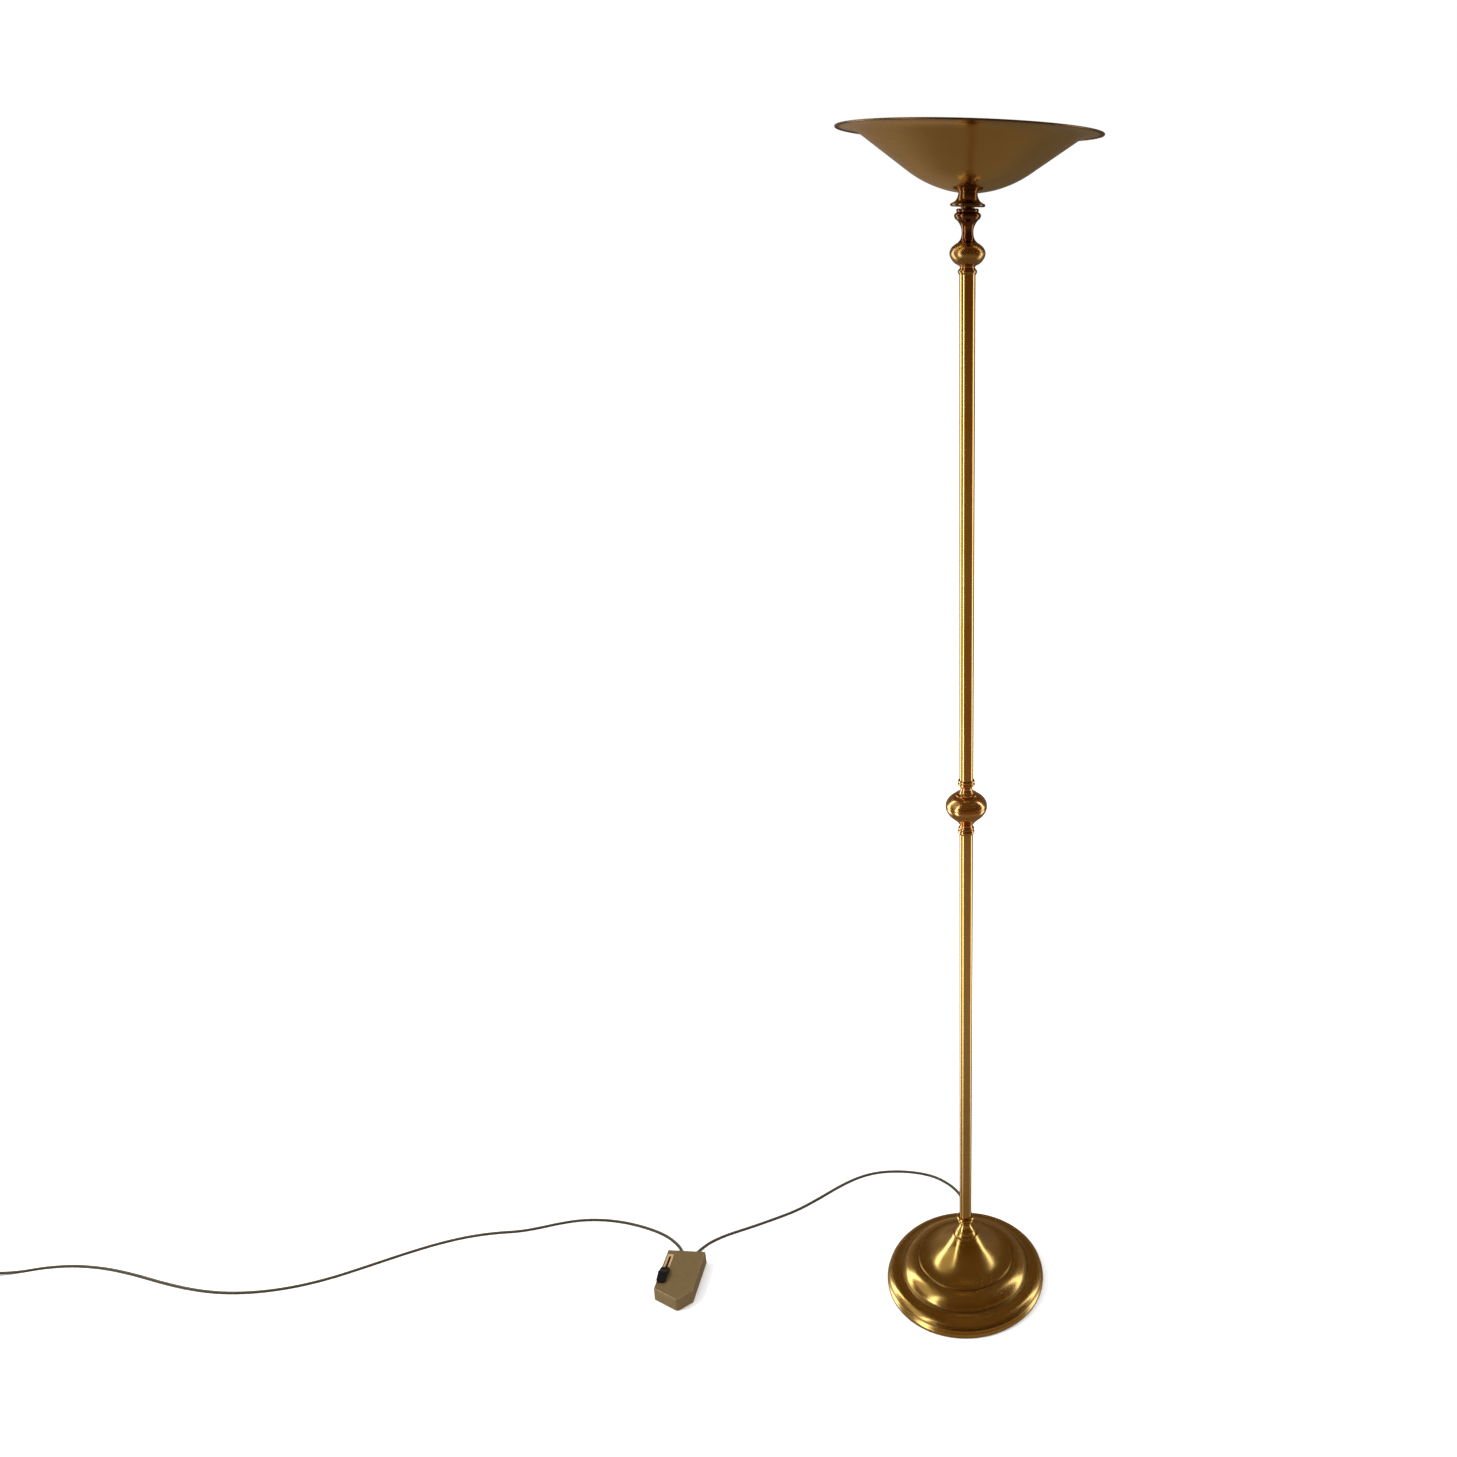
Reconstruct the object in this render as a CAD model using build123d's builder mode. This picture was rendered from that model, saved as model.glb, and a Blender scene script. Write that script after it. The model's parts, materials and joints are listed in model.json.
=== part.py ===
from build123d import *
from math import cos, pi, radians, sin, tan
import os

# A brass torchiere: a weighted spun base, two tubes joined by a ball knuckle, a turned finial and a
# wide uplighter bowl with a linear halogen lamp. A foot dimmer with a slider lies on its flat flex.
# The origin is the centre of the base on the floor, +Z is up and +Y points to the back, where the
# flex leaves the base.

os.makedirs("parts", exist_ok=True)

# ---- driving dimensions, in millimetres ----
TUBE_R = 10.0
TUBE_WALL = 1.2
NIPPLE_R = 5.0
NIPPLE_BORE = 3.5
NIPPLE_HOLE = 5.15
SHEET = 1.2
FLEX_R = 2.1
CORD_R = 2.7
CORD_Z = CORD_R + 0.05
RUNNING_GAP = 0.05

BASE_R = 133.2
PAD_R = 126.0
PAD_T = 2.5
WEIGHT_R = 127.0
RECESS_R = 24.0
RECESS_TOP = 20.0
SHELL_TOP = 94.0
GLAND_Z = 6.5
GLAND_END = 156.0

COLLAR_TOP = 131.8
LOWER_TUBE_FOOT = 127.0
LOWER_TUBE_TOP = 850.0
KNUCKLE_FOOT = 845.0
KNUCKLE_NECK = 859.4
SEAM_Z = 890.0
BALL_R = 30.0
SHOULDER_Z = 906.8
KNUCKLE_TOP = 929.6
UPPER_TUBE_FOOT = 925.5
UPPER_TUBE_TOP = 1610.0
CAP_FOOT = 1606.2
FINIAL_FOOT = 1614.4
WAIST_FOOT = 1641.8
HEAD_Z = 1681.0

# The head leans: the finial's tapped hole is a little out of true.
HEAD_LEAN = 1.6
CUP_FOOT = -0.3
BOWL_FOOT = 16.4
BOWL_SHEET = 1.0
BOWL_DISH_R = 132.0
BOWL_CONE_START = 73.6
BOWL_SLOPE = 33.9
BOWL_CONE_END = 128.0
FLANGE_START = (146.0, 81.9)
FLANGE_END = (157.4, 83.0)
RIM_BEAD_R = 1.1
RIM_BEAD_CENTRE = (157.9, 82.9)
SPACER_FOOT = 18.9
BAR_Z = 36.0
BAR_T = 1.5
BAR_W = 18.0
BAR_LENGTH = 130.0
NIPPLE_TOP = 43.0
LAMP_Z = 54.0
LAMP_HALF = 58.8
LAMP_CONTACT = 57.1
HOLDER_FACE = 56.0
HOLDER_BACK = 72.0
CUP_R = 5.0
CUP_DEPTH = 4.5
CHAMBER_R = 3.2
CHAMBER_START = 6.5
PIN_R = 1.6
PIN_COLLAR_R = 2.9
SPRING_BORE = 2.1
SPRING_SOLID = 3.2

DIMMER_X = -482.3
DIMMER_Y = 30.5
DIMMER_YAW = -3.9
DIMMER_W = 66.0
DIMMER_SIDE = 87.0
DIMMER_NOSE = (12.0, -108.0)
DIMMER_TOP = 26.0
DIMMER_WALL = 2.0
FOOT_T = 1.0
PLATE_T = 2.0
SLOT_U = -24.5
SLOT_W = 3.8
SLOT_BACK = -15.0
KNOB_V = -59.0
KNOB_TRAVEL = 38.0
BLADE_LENGTH = 8.0
BEZEL_T = 0.8
SCREW_R = 1.2
SCREW_BOSS_R = 3.2
SCREW_HEAD_R = 2.9
SCREW_HEAD_T = 1.15
BOARD_Z = 5.0
BOARD_T = 1.6
SUPPLY_U = -13.0
LAMP_CORD_U = 10.5
CORD_HOLE_Z = 7.0
CORD_HOLE_R = 3.0

PLUG_X = -1745.0
PLUG_LENGTH = 36.0
PLUG_W = 35.3
PLUG_H = 13.6
PLUG_CORNER = 4.0
PLUG_RELIEF = 28.0
PLUG_Z = 6.9
PLUG_PIN_R = 2.0
PLUG_PIN_LENGTH = 19.0
PLUG_PIN_SPACING = 18.5
PLUG_SLEEVE_LENGTH = 10.0
PLUG_SLEEVE_R = 1.7
PLUG_SHANK_R = 1.4
PLUG_SHANK_DEPTH = 8.0

# ---- frames ----
LEAN = radians(HEAD_LEAN)
HEAD_UP = (sin(LEAN), 0, cos(LEAN))
HEAD_RIGHT = (cos(LEAN), 0, -sin(LEAN))
HEAD = Plane(origin=(0, 0, HEAD_Z), x_dir=HEAD_RIGHT, z_dir=HEAD_UP)
HEAD_SECTION = Plane(origin=(0, 0, HEAD_Z), x_dir=HEAD_RIGHT, z_dir=(0, -1, 0))
HEAD_AXIS = Axis((0, 0, HEAD_Z), HEAD_UP)

YAW = radians(DIMMER_YAW)
DIMMER = Plane(origin=(DIMMER_X, DIMMER_Y, 0), x_dir=(cos(YAW), sin(YAW), 0), z_dir=(0, 0, 1))
PLUG = Plane(origin=(PLUG_X, 0, PLUG_Z), x_dir=(0, 1, 0), z_dir=(1, 0, 0))


def finish(part, name):
    part.label = name
    export_step(part, "parts/" + name + ".step")


# ---- base ----
with BuildPart() as base_pad:
    with BuildSketch():
        Circle(PAD_R)
    extrude(amount=PAD_T)
finish(base_pad.part, "base_pad")

with BuildPart() as base_weight:
    with BuildSketch(Plane.XZ):
        with BuildLine():
            Polyline(
                (RECESS_R, PAD_T), (WEIGHT_R, PAD_T), (WEIGHT_R, 12), (111, 22.5), (97, 24),
                (93, 30), (62, 30), (62, RECESS_TOP + 8), (NIPPLE_HOLE, RECESS_TOP + 8),
                (NIPPLE_HOLE, RECESS_TOP), (RECESS_R, RECESS_TOP), (RECESS_R, PAD_T),
            )
        make_face()
    revolve(axis=Axis.Z)
    # radial channel for the flex, from the gland to the recess
    with BuildSketch(Plane.XY.offset(PAD_T)):
        with Locations((0, (RECESS_R + WEIGHT_R) / 2)):
            Rectangle(13, WEIGHT_R - RECESS_R + 8)
    extrude(amount=10, mode=Mode.SUBTRACT)
finish(base_weight.part, "base_weight")


def shell_face(inset, drop):
    """Half section of the spun base, moved in by inset and down by drop, closed to the axis."""
    with BuildSketch(Plane.XZ) as face:
        with BuildLine():
            foot = Line((0, 0.6 - drop), (132.4 - inset, 0.6 - drop))
            roll = ThreePointArc(foot @ 1, (BASE_R - inset, 6.0 - drop), (131.8 - inset, 11.0 - drop))
            torus = ThreePointArc(roll @ 1, (128.2 - inset, 19.4 - drop), (115.6 - inset, 24.4 - drop))
            cove = ThreePointArc(torus @ 1, (109.0 - inset, 26.0 - drop), (103.2 - inset, 29.6 - drop))
            ogee = Spline(
                cove @ 1, (96.4 - inset, 39.8 - drop), (79.8 - inset, 47.6 - drop),
                tangents=((-0.35, 1), (-1, 0.2)),
            )
            bead = ThreePointArc(ogee @ 1, (78.0 - inset, 49.8 - drop), (75.6 - inset, 49.6 - drop))
            bell = Spline(
                bead @ 1, (58.0 - inset, 55.8 - drop), (39.0 - inset, 70.6 - drop),
                (22.8 - inset, 92.0 - drop), tangents=((-1, 0.14), (-0.42, 1)),
            )
            Polyline(bell @ 1, (21.4 - inset, SHELL_TOP - drop), (0, SHELL_TOP - drop), foot @ 0)
        make_face()
    return face.sketch


with BuildPart() as base_shell:
    revolve(shell_face(0, 0), axis=Axis.Z)
    revolve(shell_face(SHEET, SHEET), axis=Axis.Z, mode=Mode.SUBTRACT)
    Cylinder(NIPPLE_HOLE, 400, mode=Mode.SUBTRACT)
    # hole for the gland, low at the back
    with BuildSketch(Plane.XZ.offset(-120)):
        with Locations((0, GLAND_Z)):
            Circle(4.2)
    extrude(amount=-20, mode=Mode.SUBTRACT)
finish(base_shell.part, "base_shell")

with BuildPart() as base_washer:
    with BuildSketch(Plane.XY.offset(RECESS_TOP - 1.5)):
        Circle(12)
        Circle(NIPPLE_HOLE, mode=Mode.SUBTRACT)
    extrude(amount=1.5)
finish(base_washer.part, "base_washer")

with BuildPart() as base_nut:
    with BuildSketch(Plane.XY.offset(RECESS_TOP - 6.5)):
        RegularPolygon(9.2, 6)
        Circle(NIPPLE_R + 0.02, mode=Mode.SUBTRACT)
    extrude(amount=5)
finish(base_nut.part, "base_nut")

with BuildPart() as base_nipple:
    with BuildSketch(Plane.XY.offset(RECESS_TOP - 8)):
        Circle(NIPPLE_R)
        Circle(NIPPLE_BORE, mode=Mode.SUBTRACT)
    extrude(amount=LOWER_TUBE_FOOT - RECESS_TOP + 2)
finish(base_nipple.part, "base_nipple")

with BuildPart() as cord_gland:
    with BuildSketch(Plane.YZ):
        with BuildLine():
            Polyline(
                (128.0, GLAND_Z + FLEX_R + 0.2), (128.0, GLAND_Z + 5.2), (130.0, GLAND_Z + 5.2),
                (130.0, GLAND_Z + 4.0), (133.6, GLAND_Z + 4.0), (133.6, GLAND_Z + 5.3),
                (136.0, GLAND_Z + 5.3), (137.0, GLAND_Z + 4.7), (GLAND_END, GLAND_Z + 3.3),
                (GLAND_END, GLAND_Z + FLEX_R + 0.2), (128.0, GLAND_Z + FLEX_R + 0.2),
            )
        make_face()
    revolve(axis=Axis((0, 0, GLAND_Z), (0, 1, 0)))
finish(cord_gland.part, "cord_gland")

with BuildPart() as base_collar:
    with BuildSketch(Plane.XZ):
        with BuildLine():
            Polyline((NIPPLE_HOLE, SHELL_TOP), (21.2, SHELL_TOP), (21.8, 95.0))
            edge = ThreePointArc((21.8, 95.0), (21.3, 96.8), (19.6, 97.4))
            cove = ThreePointArc(edge @ 1, (16.8, 99.6), (15.6, 103.6))
            bead = ThreePointArc(cove @ 1, (15.7, 105.2), (14.4, 105.9))
            neck = Spline(
                bead @ 1, (11.0, 110.8), (9.6, 117.0), (10.3, 120.8), tangents=((-0.9, 0.8), (0.7, 1)),
            )
            lower_ring = ThreePointArc(neck @ 1, (12.2, 122.9), (11.4, 125.0))
            groove = Line(lower_ring @ 1, (11.4, 125.7))
            upper_ring = ThreePointArc(groove @ 1, (13.9, 128.6), (12.6, COLLAR_TOP))
            Polyline(
                upper_ring @ 1, (TUBE_R + 0.1, COLLAR_TOP), (TUBE_R + 0.1, LOWER_TUBE_FOOT),
                (NIPPLE_HOLE, LOWER_TUBE_FOOT), (NIPPLE_HOLE, SHELL_TOP),
            )
        make_face()
    revolve(axis=Axis.Z)
finish(base_collar.part, "base_collar")

# ---- column ----
for tube_name, foot_z, top_z in (
    ("lower_tube", LOWER_TUBE_FOOT, LOWER_TUBE_TOP),
    ("upper_tube", UPPER_TUBE_FOOT, UPPER_TUBE_TOP),
):
    with BuildPart() as tube:
        with BuildSketch(Plane.XY.offset(foot_z)):
            Circle(TUBE_R)
            Circle(TUBE_R - TUBE_WALL, mode=Mode.SUBTRACT)
        extrude(amount=top_z - foot_z)
    finish(tube.part, tube_name)

with BuildPart() as knuckle_collar:
    with BuildSketch(Plane.XZ):
        with BuildLine():
            lower = ThreePointArc((11.2, KNUCKLE_FOOT), (12.2, 848.0), (11.2, 851.0))
            groove = Line(lower @ 1, (10.6, 851.6))
            upper = ThreePointArc(groove @ 1, (11.6, 853.4), (10.8, 855.2))
            neck = Spline(
                upper @ 1, (9.2, 857.6), (9.4, KNUCKLE_NECK), tangents=((-0.9, 0.7), (0.5, 1)),
            )
            Polyline(
                neck @ 1, (NIPPLE_HOLE, KNUCKLE_NECK), (NIPPLE_HOLE, LOWER_TUBE_TOP),
                (TUBE_R + 0.1, LOWER_TUBE_TOP), (TUBE_R + 0.1, KNUCKLE_FOOT), lower @ 0,
            )
        make_face()
    revolve(axis=Axis.Z)
finish(knuckle_collar.part, "knuckle_collar")

with BuildPart() as knuckle_ball_lower:
    with BuildSketch(Plane.XZ):
        with BuildLine():
            outer = Spline(
                (9.6, KNUCKLE_NECK), (17.2, 868.4), (25.0, 875.8), (BALL_R, 886.8),
                (BALL_R - 0.1, SEAM_Z - 0.4), tangents=((0.7, 1), (-0.05, 1)),
            )
            rim = Line(outer @ 1, (BALL_R - 1.4, SEAM_Z - 0.4))
            inner = Spline(
                rim @ 1, (BALL_R - 1.3, 886.8), (24.0, 876.8), (16.4, 869.6), (7.4, KNUCKLE_NECK + 1.5),
                tangents=((0.05, -1), (-0.9, -0.8)),
            )
            Polyline(
                inner @ 1, (NIPPLE_HOLE, KNUCKLE_NECK + 1.5), (NIPPLE_HOLE, KNUCKLE_NECK), outer @ 0,
            )
        make_face()
    revolve(axis=Axis.Z)
finish(knuckle_ball_lower.part, "knuckle_ball_lower")

with BuildPart() as knuckle_ball_upper:
    with BuildSketch(Plane.XZ):
        with BuildLine():
            start = ThreePointArc(
                (BALL_R - 0.6, SEAM_Z), (BALL_R - 0.15, SEAM_Z + 0.3), (BALL_R - 0.1, SEAM_Z + 0.9),
            )
            outer = Spline(
                start @ 1, (28.3, 896.0), (23.6, 902.0), (15.0, SHOULDER_Z), tangents=((-0.1, 1), (-1, 0.36)),
            )
            Polyline(
                outer @ 1, (NIPPLE_HOLE, SHOULDER_Z), (NIPPLE_HOLE, SHOULDER_Z - 1.3),
                (14.6, SHOULDER_Z - 1.3),
            )
            inner = Spline(
                (14.6, SHOULDER_Z - 1.3), (22.8, 901.0), (27.1, 895.4), (BALL_R - 1.4, SEAM_Z),
                tangents=((1, -0.36), (0.1, -1)),
            )
            Line(inner @ 1, start @ 0)
        make_face()
    revolve(axis=Axis.Z)
finish(knuckle_ball_upper.part, "knuckle_ball_upper")

with BuildPart() as knuckle_neck:
    with BuildSketch(Plane.XZ):
        with BuildLine():
            Polyline((NIPPLE_HOLE, SHOULDER_Z), (15.0, SHOULDER_Z))
            bead = ThreePointArc((15.0, SHOULDER_Z), (16.2, 907.6), (15.2, 908.4))
            step = Line(bead @ 1, (14.4, 908.9))
            trumpet = Spline(
                step @ 1, (10.4, 911.8), (8.4, 917.2), (10.0, 920.4), tangents=((-1, 0.3), (1, 0.8)),
            )
            lower = ThreePointArc(trumpet @ 1, (12.3, 922.9), (11.2, 925.2))
            groove = Line(lower @ 1, (11.2, 925.8))
            upper = ThreePointArc(groove @ 1, (12.0, 927.8), (11.4, KNUCKLE_TOP))
            Polyline(
                upper @ 1, (TUBE_R + 0.1, KNUCKLE_TOP), (TUBE_R + 0.1, UPPER_TUBE_FOOT),
                (NIPPLE_HOLE, UPPER_TUBE_FOOT), (NIPPLE_HOLE, SHOULDER_Z),
            )
        make_face()
    revolve(axis=Axis.Z)
finish(knuckle_neck.part, "knuckle_neck")

with BuildPart() as knuckle_nipple:
    with BuildSketch(Plane.XY.offset(LOWER_TUBE_TOP + 2)):
        Circle(NIPPLE_R)
        Circle(NIPPLE_BORE, mode=Mode.SUBTRACT)
    extrude(amount=UPPER_TUBE_FOOT + 6 - LOWER_TUBE_TOP)
finish(knuckle_nipple.part, "knuckle_nipple")

with BuildPart() as column_cap:
    with BuildSketch(Plane.XZ):
        with BuildLine():
            foot = Line((TUBE_R + 0.1, CAP_FOOT), (10.7, CAP_FOOT))
            ring = Spline(
                foot @ 1, (11.8, 1610.3), (10.2, 1612.6), (9.3, FINIAL_FOOT), tangents=((0.4, 1), (-0.1, 1)),
            )
            Polyline(
                ring @ 1, (NIPPLE_HOLE, FINIAL_FOOT), (NIPPLE_HOLE, UPPER_TUBE_TOP),
                (TUBE_R + 0.1, UPPER_TUBE_TOP), foot @ 0,
            )
        make_face()
    revolve(axis=Axis.Z)
finish(column_cap.part, "column_cap")

with BuildPart() as finial_nipple:
    with BuildSketch(Plane.XY.offset(UPPER_TUBE_TOP - 8)):
        Circle(NIPPLE_R)
        Circle(NIPPLE_BORE, mode=Mode.SUBTRACT)
    extrude(amount=WAIST_FOOT + 16 - UPPER_TUBE_TOP)
finish(finial_nipple.part, "finial_nipple")

with BuildPart() as finial_bulb:
    with BuildSketch(Plane.XZ):
        with BuildLine():
            outer = Spline(
                (9.3, FINIAL_FOOT), (12.8, 1617.3), (19.3, 1622.9), (22.1, 1629.8), (19.8, 1636.5),
                (13.4, WAIST_FOOT), tangents=((0.2, 1), (-1, 0.72)),
            )
            Polyline(outer @ 1, (NIPPLE_HOLE, WAIST_FOOT), (NIPPLE_HOLE, FINIAL_FOOT), outer @ 0)
        make_face()
    revolve(axis=Axis.Z)
finish(finial_bulb.part, "finial_bulb")

with BuildPart() as finial_waist:
    with BuildSketch(Plane.XZ):
        with BuildLine():
            waist = Spline(
                (12.9, WAIST_FOOT), (9.2, 1645.5), (7.2, 1653.4), (9.2, 1662.3), (14.4, 1668.4),
                (15.6, 1670.2), tangents=((-1, 0.8), (0.35, 1)),
            )
            ring = ThreePointArc(waist @ 1, (16.4, 1672.5), (14.4, 1675.4))
            groove = Line(ring @ 1, (13.1, 1676.5))
            top = ThreePointArc(groove @ 1, (13.7, 1678.6), (12.6, HEAD_Z - 0.6))
            Polyline(top @ 1, (0, HEAD_Z - 0.6), (0, WAIST_FOOT), waist @ 0)
        make_face()
    revolve(axis=Axis.Z)
    Cylinder(NIPPLE_HOLE, 2 * (WAIST_FOOT + 8.2), mode=Mode.SUBTRACT)
    Cylinder(NIPPLE_BORE, 4 * HEAD_Z, mode=Mode.SUBTRACT)
    # the tapped hole for the head's nipple follows the head's own axis
    with BuildSketch(HEAD.offset(-18.2)):
        Circle(NIPPLE_HOLE)
    extrude(amount=30, mode=Mode.SUBTRACT)
finish(finial_waist.part, "finial_waist")

# ---- head ----
with BuildPart() as head_nipple:
    with BuildSketch(HEAD.offset(-18)):
        Circle(NIPPLE_R)
        Circle(NIPPLE_BORE, mode=Mode.SUBTRACT)
    extrude(amount=18 + NIPPLE_TOP)
finish(head_nipple.part, "head_nipple")

with BuildPart() as bell_cup:
    with BuildSketch(HEAD_SECTION):
        with BuildLine():
            Polyline((NIPPLE_HOLE, CUP_FOOT), (8.4, CUP_FOOT), (8.4, 1.5), (18.6, 1.7))
            lip = ThreePointArc((18.6, 1.7), (21.3, 3.3), (19.6, 5.0))
            flare = Spline(
                lip @ 1, (15.1, 7.8), (12.4, 12.2), (11.6, BOWL_FOOT), tangents=((-1, 0.5), (-0.08, 1)),
            )
            Polyline(flare @ 1, (NIPPLE_HOLE, BOWL_FOOT), (NIPPLE_HOLE, CUP_FOOT))
        make_face()
    revolve(axis=HEAD_AXIS)
finish(bell_cup.part, "bell_cup")

slope = radians(BOWL_SLOPE)
dish_rise = BOWL_DISH_R * (1 - cos(slope))
cone_start = (BOWL_CONE_START, BOWL_FOOT + dish_rise)
cone_end = (BOWL_CONE_END, cone_start[1] + (BOWL_CONE_END - BOWL_CONE_START) * tan(slope))
with BuildPart() as bowl:
    with BuildSketch(HEAD_SECTION):
        with BuildLine():
            seat = Line((NIPPLE_HOLE, BOWL_FOOT), (11.0, BOWL_FOOT))
            half_slope = slope * 0.54
            dish = ThreePointArc(
                seat @ 1,
                (BOWL_DISH_R * sin(half_slope), BOWL_FOOT + BOWL_DISH_R * (1 - cos(half_slope))),
                cone_start,
            )
            cone = Line(dish @ 1, cone_end)
            sweep_out = TangentArc(cone @ 1, FLANGE_START, tangent=cone % 1)
            Line(sweep_out @ 1, FLANGE_END)
            offset(amount=BOWL_SHEET, side=Side.LEFT)
        make_face()
        # the rim is rolled into a thin bead
        with Locations(RIM_BEAD_CENTRE):
            Circle(RIM_BEAD_R)
    revolve(axis=HEAD_AXIS)
finish(bowl.part, "bowl")

with BuildPart() as bowl_washer:
    with BuildSketch(HEAD.offset(BOWL_FOOT + BOWL_SHEET)):
        Circle(10.8)
        Circle(NIPPLE_HOLE, mode=Mode.SUBTRACT)
    extrude(amount=SPACER_FOOT - BOWL_FOOT - BOWL_SHEET)
finish(bowl_washer.part, "bowl_washer")

with BuildPart() as bracket_spacer:
    with BuildSketch(HEAD.offset(SPACER_FOOT)):
        Circle(8)
        Circle(NIPPLE_HOLE, mode=Mode.SUBTRACT)
    extrude(amount=BAR_Z - SPACER_FOOT)
finish(bracket_spacer.part, "bracket_spacer")

with BuildPart() as lamp_bracket:
    with BuildSketch(HEAD.offset(BAR_Z)):
        RectangleRounded(BAR_W, BAR_LENGTH, 3)
        Circle(NIPPLE_HOLE, mode=Mode.SUBTRACT)
        with Locations((0, 50), (0, -50)):
            SlotOverall(8, 4, rotation=90, mode=Mode.SUBTRACT)
    extrude(amount=BAR_T)
    # upturned ends that carry the lampholders
    with BuildSketch(HEAD.offset(BAR_Z + BAR_T)):
        with Locations((0, HOLDER_FACE + 6.5), (0, -HOLDER_FACE - 6.5)):
            Rectangle(14, 5)
    extrude(amount=LAMP_Z - 10 - BAR_Z - BAR_T)
finish(lamp_bracket.part, "lamp_bracket")

with BuildPart() as bracket_nut:
    with BuildSketch(HEAD.offset(BAR_Z + BAR_T)):
        RegularPolygon(9.2, 6)
        Circle(NIPPLE_R + 0.02, mode=Mode.SUBTRACT)
    extrude(amount=4)
finish(bracket_nut.part, "bracket_nut")

holder_depth = HOLDER_BACK - HOLDER_FACE
for side, sign in (("front", -1), ("back", 1)):
    facing = Plane(origin=HEAD.from_local_coords(Vector(0, 0, LAMP_Z)), x_dir=HEAD_RIGHT, z_dir=(0, sign, 0))
    with BuildPart() as holder:
        with BuildSketch(facing.offset(HOLDER_FACE)):
            RectangleRounded(18, 20, 2)
        extrude(amount=holder_depth)
        # cup for the lamp's end, pin guide, spring chamber and tail hole, one behind the other
        for start, depth, radius in (
            (HOLDER_FACE, CUP_DEPTH, CUP_R),
            (HOLDER_FACE + CUP_DEPTH, holder_depth, PIN_R + RUNNING_GAP),
            (HOLDER_FACE + CHAMBER_START, 8.0, CHAMBER_R),
        ):
            with BuildSketch(facing.offset(start)):
                Circle(radius)
            extrude(amount=depth, mode=Mode.SUBTRACT)
    finish(holder.part, "lampholder_" + side)

    with BuildPart() as pin:
        with BuildSketch(facing.offset(LAMP_CONTACT + 0.3)):
            Circle(PIN_R)
        extrude(amount=HOLDER_BACK - LAMP_CONTACT)
        fillet(pin.edges().group_by(Axis.Y)[0 if sign > 0 else -1], 0.7)
        with BuildSketch(facing.offset(HOLDER_FACE + CHAMBER_START + 0.2)):
            Circle(PIN_COLLAR_R)
        extrude(amount=1.2)
    finish(pin.part, "contact_pin_" + side)

    with BuildPart() as spring:
        with BuildSketch(facing.offset(HOLDER_BACK - 1.6 - SPRING_SOLID)):
            Circle(PIN_COLLAR_R)
            Circle(SPRING_BORE, mode=Mode.SUBTRACT)
        extrude(amount=SPRING_SOLID)
    finish(spring.part, "contact_spring_" + side)

LAMP = Plane(origin=HEAD.from_local_coords(Vector(0, 0, LAMP_Z)), x_dir=(0, 1, 0), z_dir=(0, 0, 1))
LAMP_AXIS = Axis(LAMP.origin, (0, 1, 0))
with BuildPart() as lamp_envelope:
    with BuildSketch(LAMP):
        with BuildLine():
            Polyline((-40, 4.4), (-40, 3.0), (-44, 2.6), (-44, 3.6), (-42.6, 4.2))
            left = ThreePointArc((-42.6, 4.2), (-41.6, 5.2), (-40, 5.5))
            Line(left @ 1, (40, 5.5))
            right = ThreePointArc((40, 5.5), (41.6, 5.2), (42.6, 4.2))
            Polyline(right @ 1, (44, 3.6), (44, 2.6), (40, 3.0), (40, 4.4), (-40, 4.4))
        make_face()
    revolve(axis=LAMP_AXIS)
finish(lamp_envelope.part, "lamp_envelope")

with BuildPart() as lamp_caps:
    for sign in (-1, 1):
        facing = Plane(origin=LAMP.origin, x_dir=HEAD_RIGHT, z_dir=(0, sign, 0))
        with BuildSketch(facing.offset(44)):
            RectangleRounded(7.6, 3.6, 1)
        extrude(amount=5)
        with BuildSketch(facing.offset(49)):
            Circle(4.2)
        extrude(amount=LAMP_HALF - 49)
        with BuildSketch(facing.offset(LAMP_CONTACT)):
            Circle(2.3)
        extrude(amount=LAMP_HALF - LAMP_CONTACT, mode=Mode.SUBTRACT)
finish(lamp_caps.part, "lamp_caps")

with BuildPart() as lamp_filament:
    for sign in (-1, 1):
        with BuildSketch(Plane(origin=LAMP.origin, x_dir=HEAD_RIGHT, z_dir=(0, sign, 0))):
            Circle(0.8)
        extrude(amount=44)
    # thin discs that hold the filament on the axis of the envelope
    for place in (-24, -8, 8, 24):
        support = Plane(origin=LAMP.origin + Vector(0, place - 0.3, 0), x_dir=HEAD_RIGHT, z_dir=(0, 1, 0))
        with BuildSketch(support):
            Circle(4.2)
        extrude(amount=0.6)
finish(lamp_filament.part, "lamp_filament")


def route_radii(points):
    """Arc radii for a cord's path: 0.45 of the shorter run over the tangent of half the turn."""
    corners = [Vector(*point) for point in points]
    radii = []
    for before, corner, after in zip(corners, corners[1:], corners[2:]):
        run_in = corner - before
        run_out = after - corner
        half_turn = radians(run_in.get_angle(run_out)) / 2
        radii.append(0.45 * min(run_in.length, run_out.length) / tan(half_turn))
    return radii


with BuildPart() as holder_leads:
    for sign in (-1, 1):
        lead_points = [
            HEAD.from_local_coords(Vector(*point))
            for point in (
                (0, sign * 1.4, 22), (0, sign * 1.4, 45), (0, sign * 14, 45.4),
                (0, sign * 22, 40.6), (0, sign * (HOLDER_FACE - 0.6), 46.2),
            )
        ]
        with BuildLine() as lead_path:
            FilletPolyline(*lead_points, radius=2.6)
        with BuildSketch(Plane(lead_path.line @ 0, z_dir=lead_path.line % 0)):
            Circle(1.1)
        sweep()
finish(holder_leads.part, "holder_leads")

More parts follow.
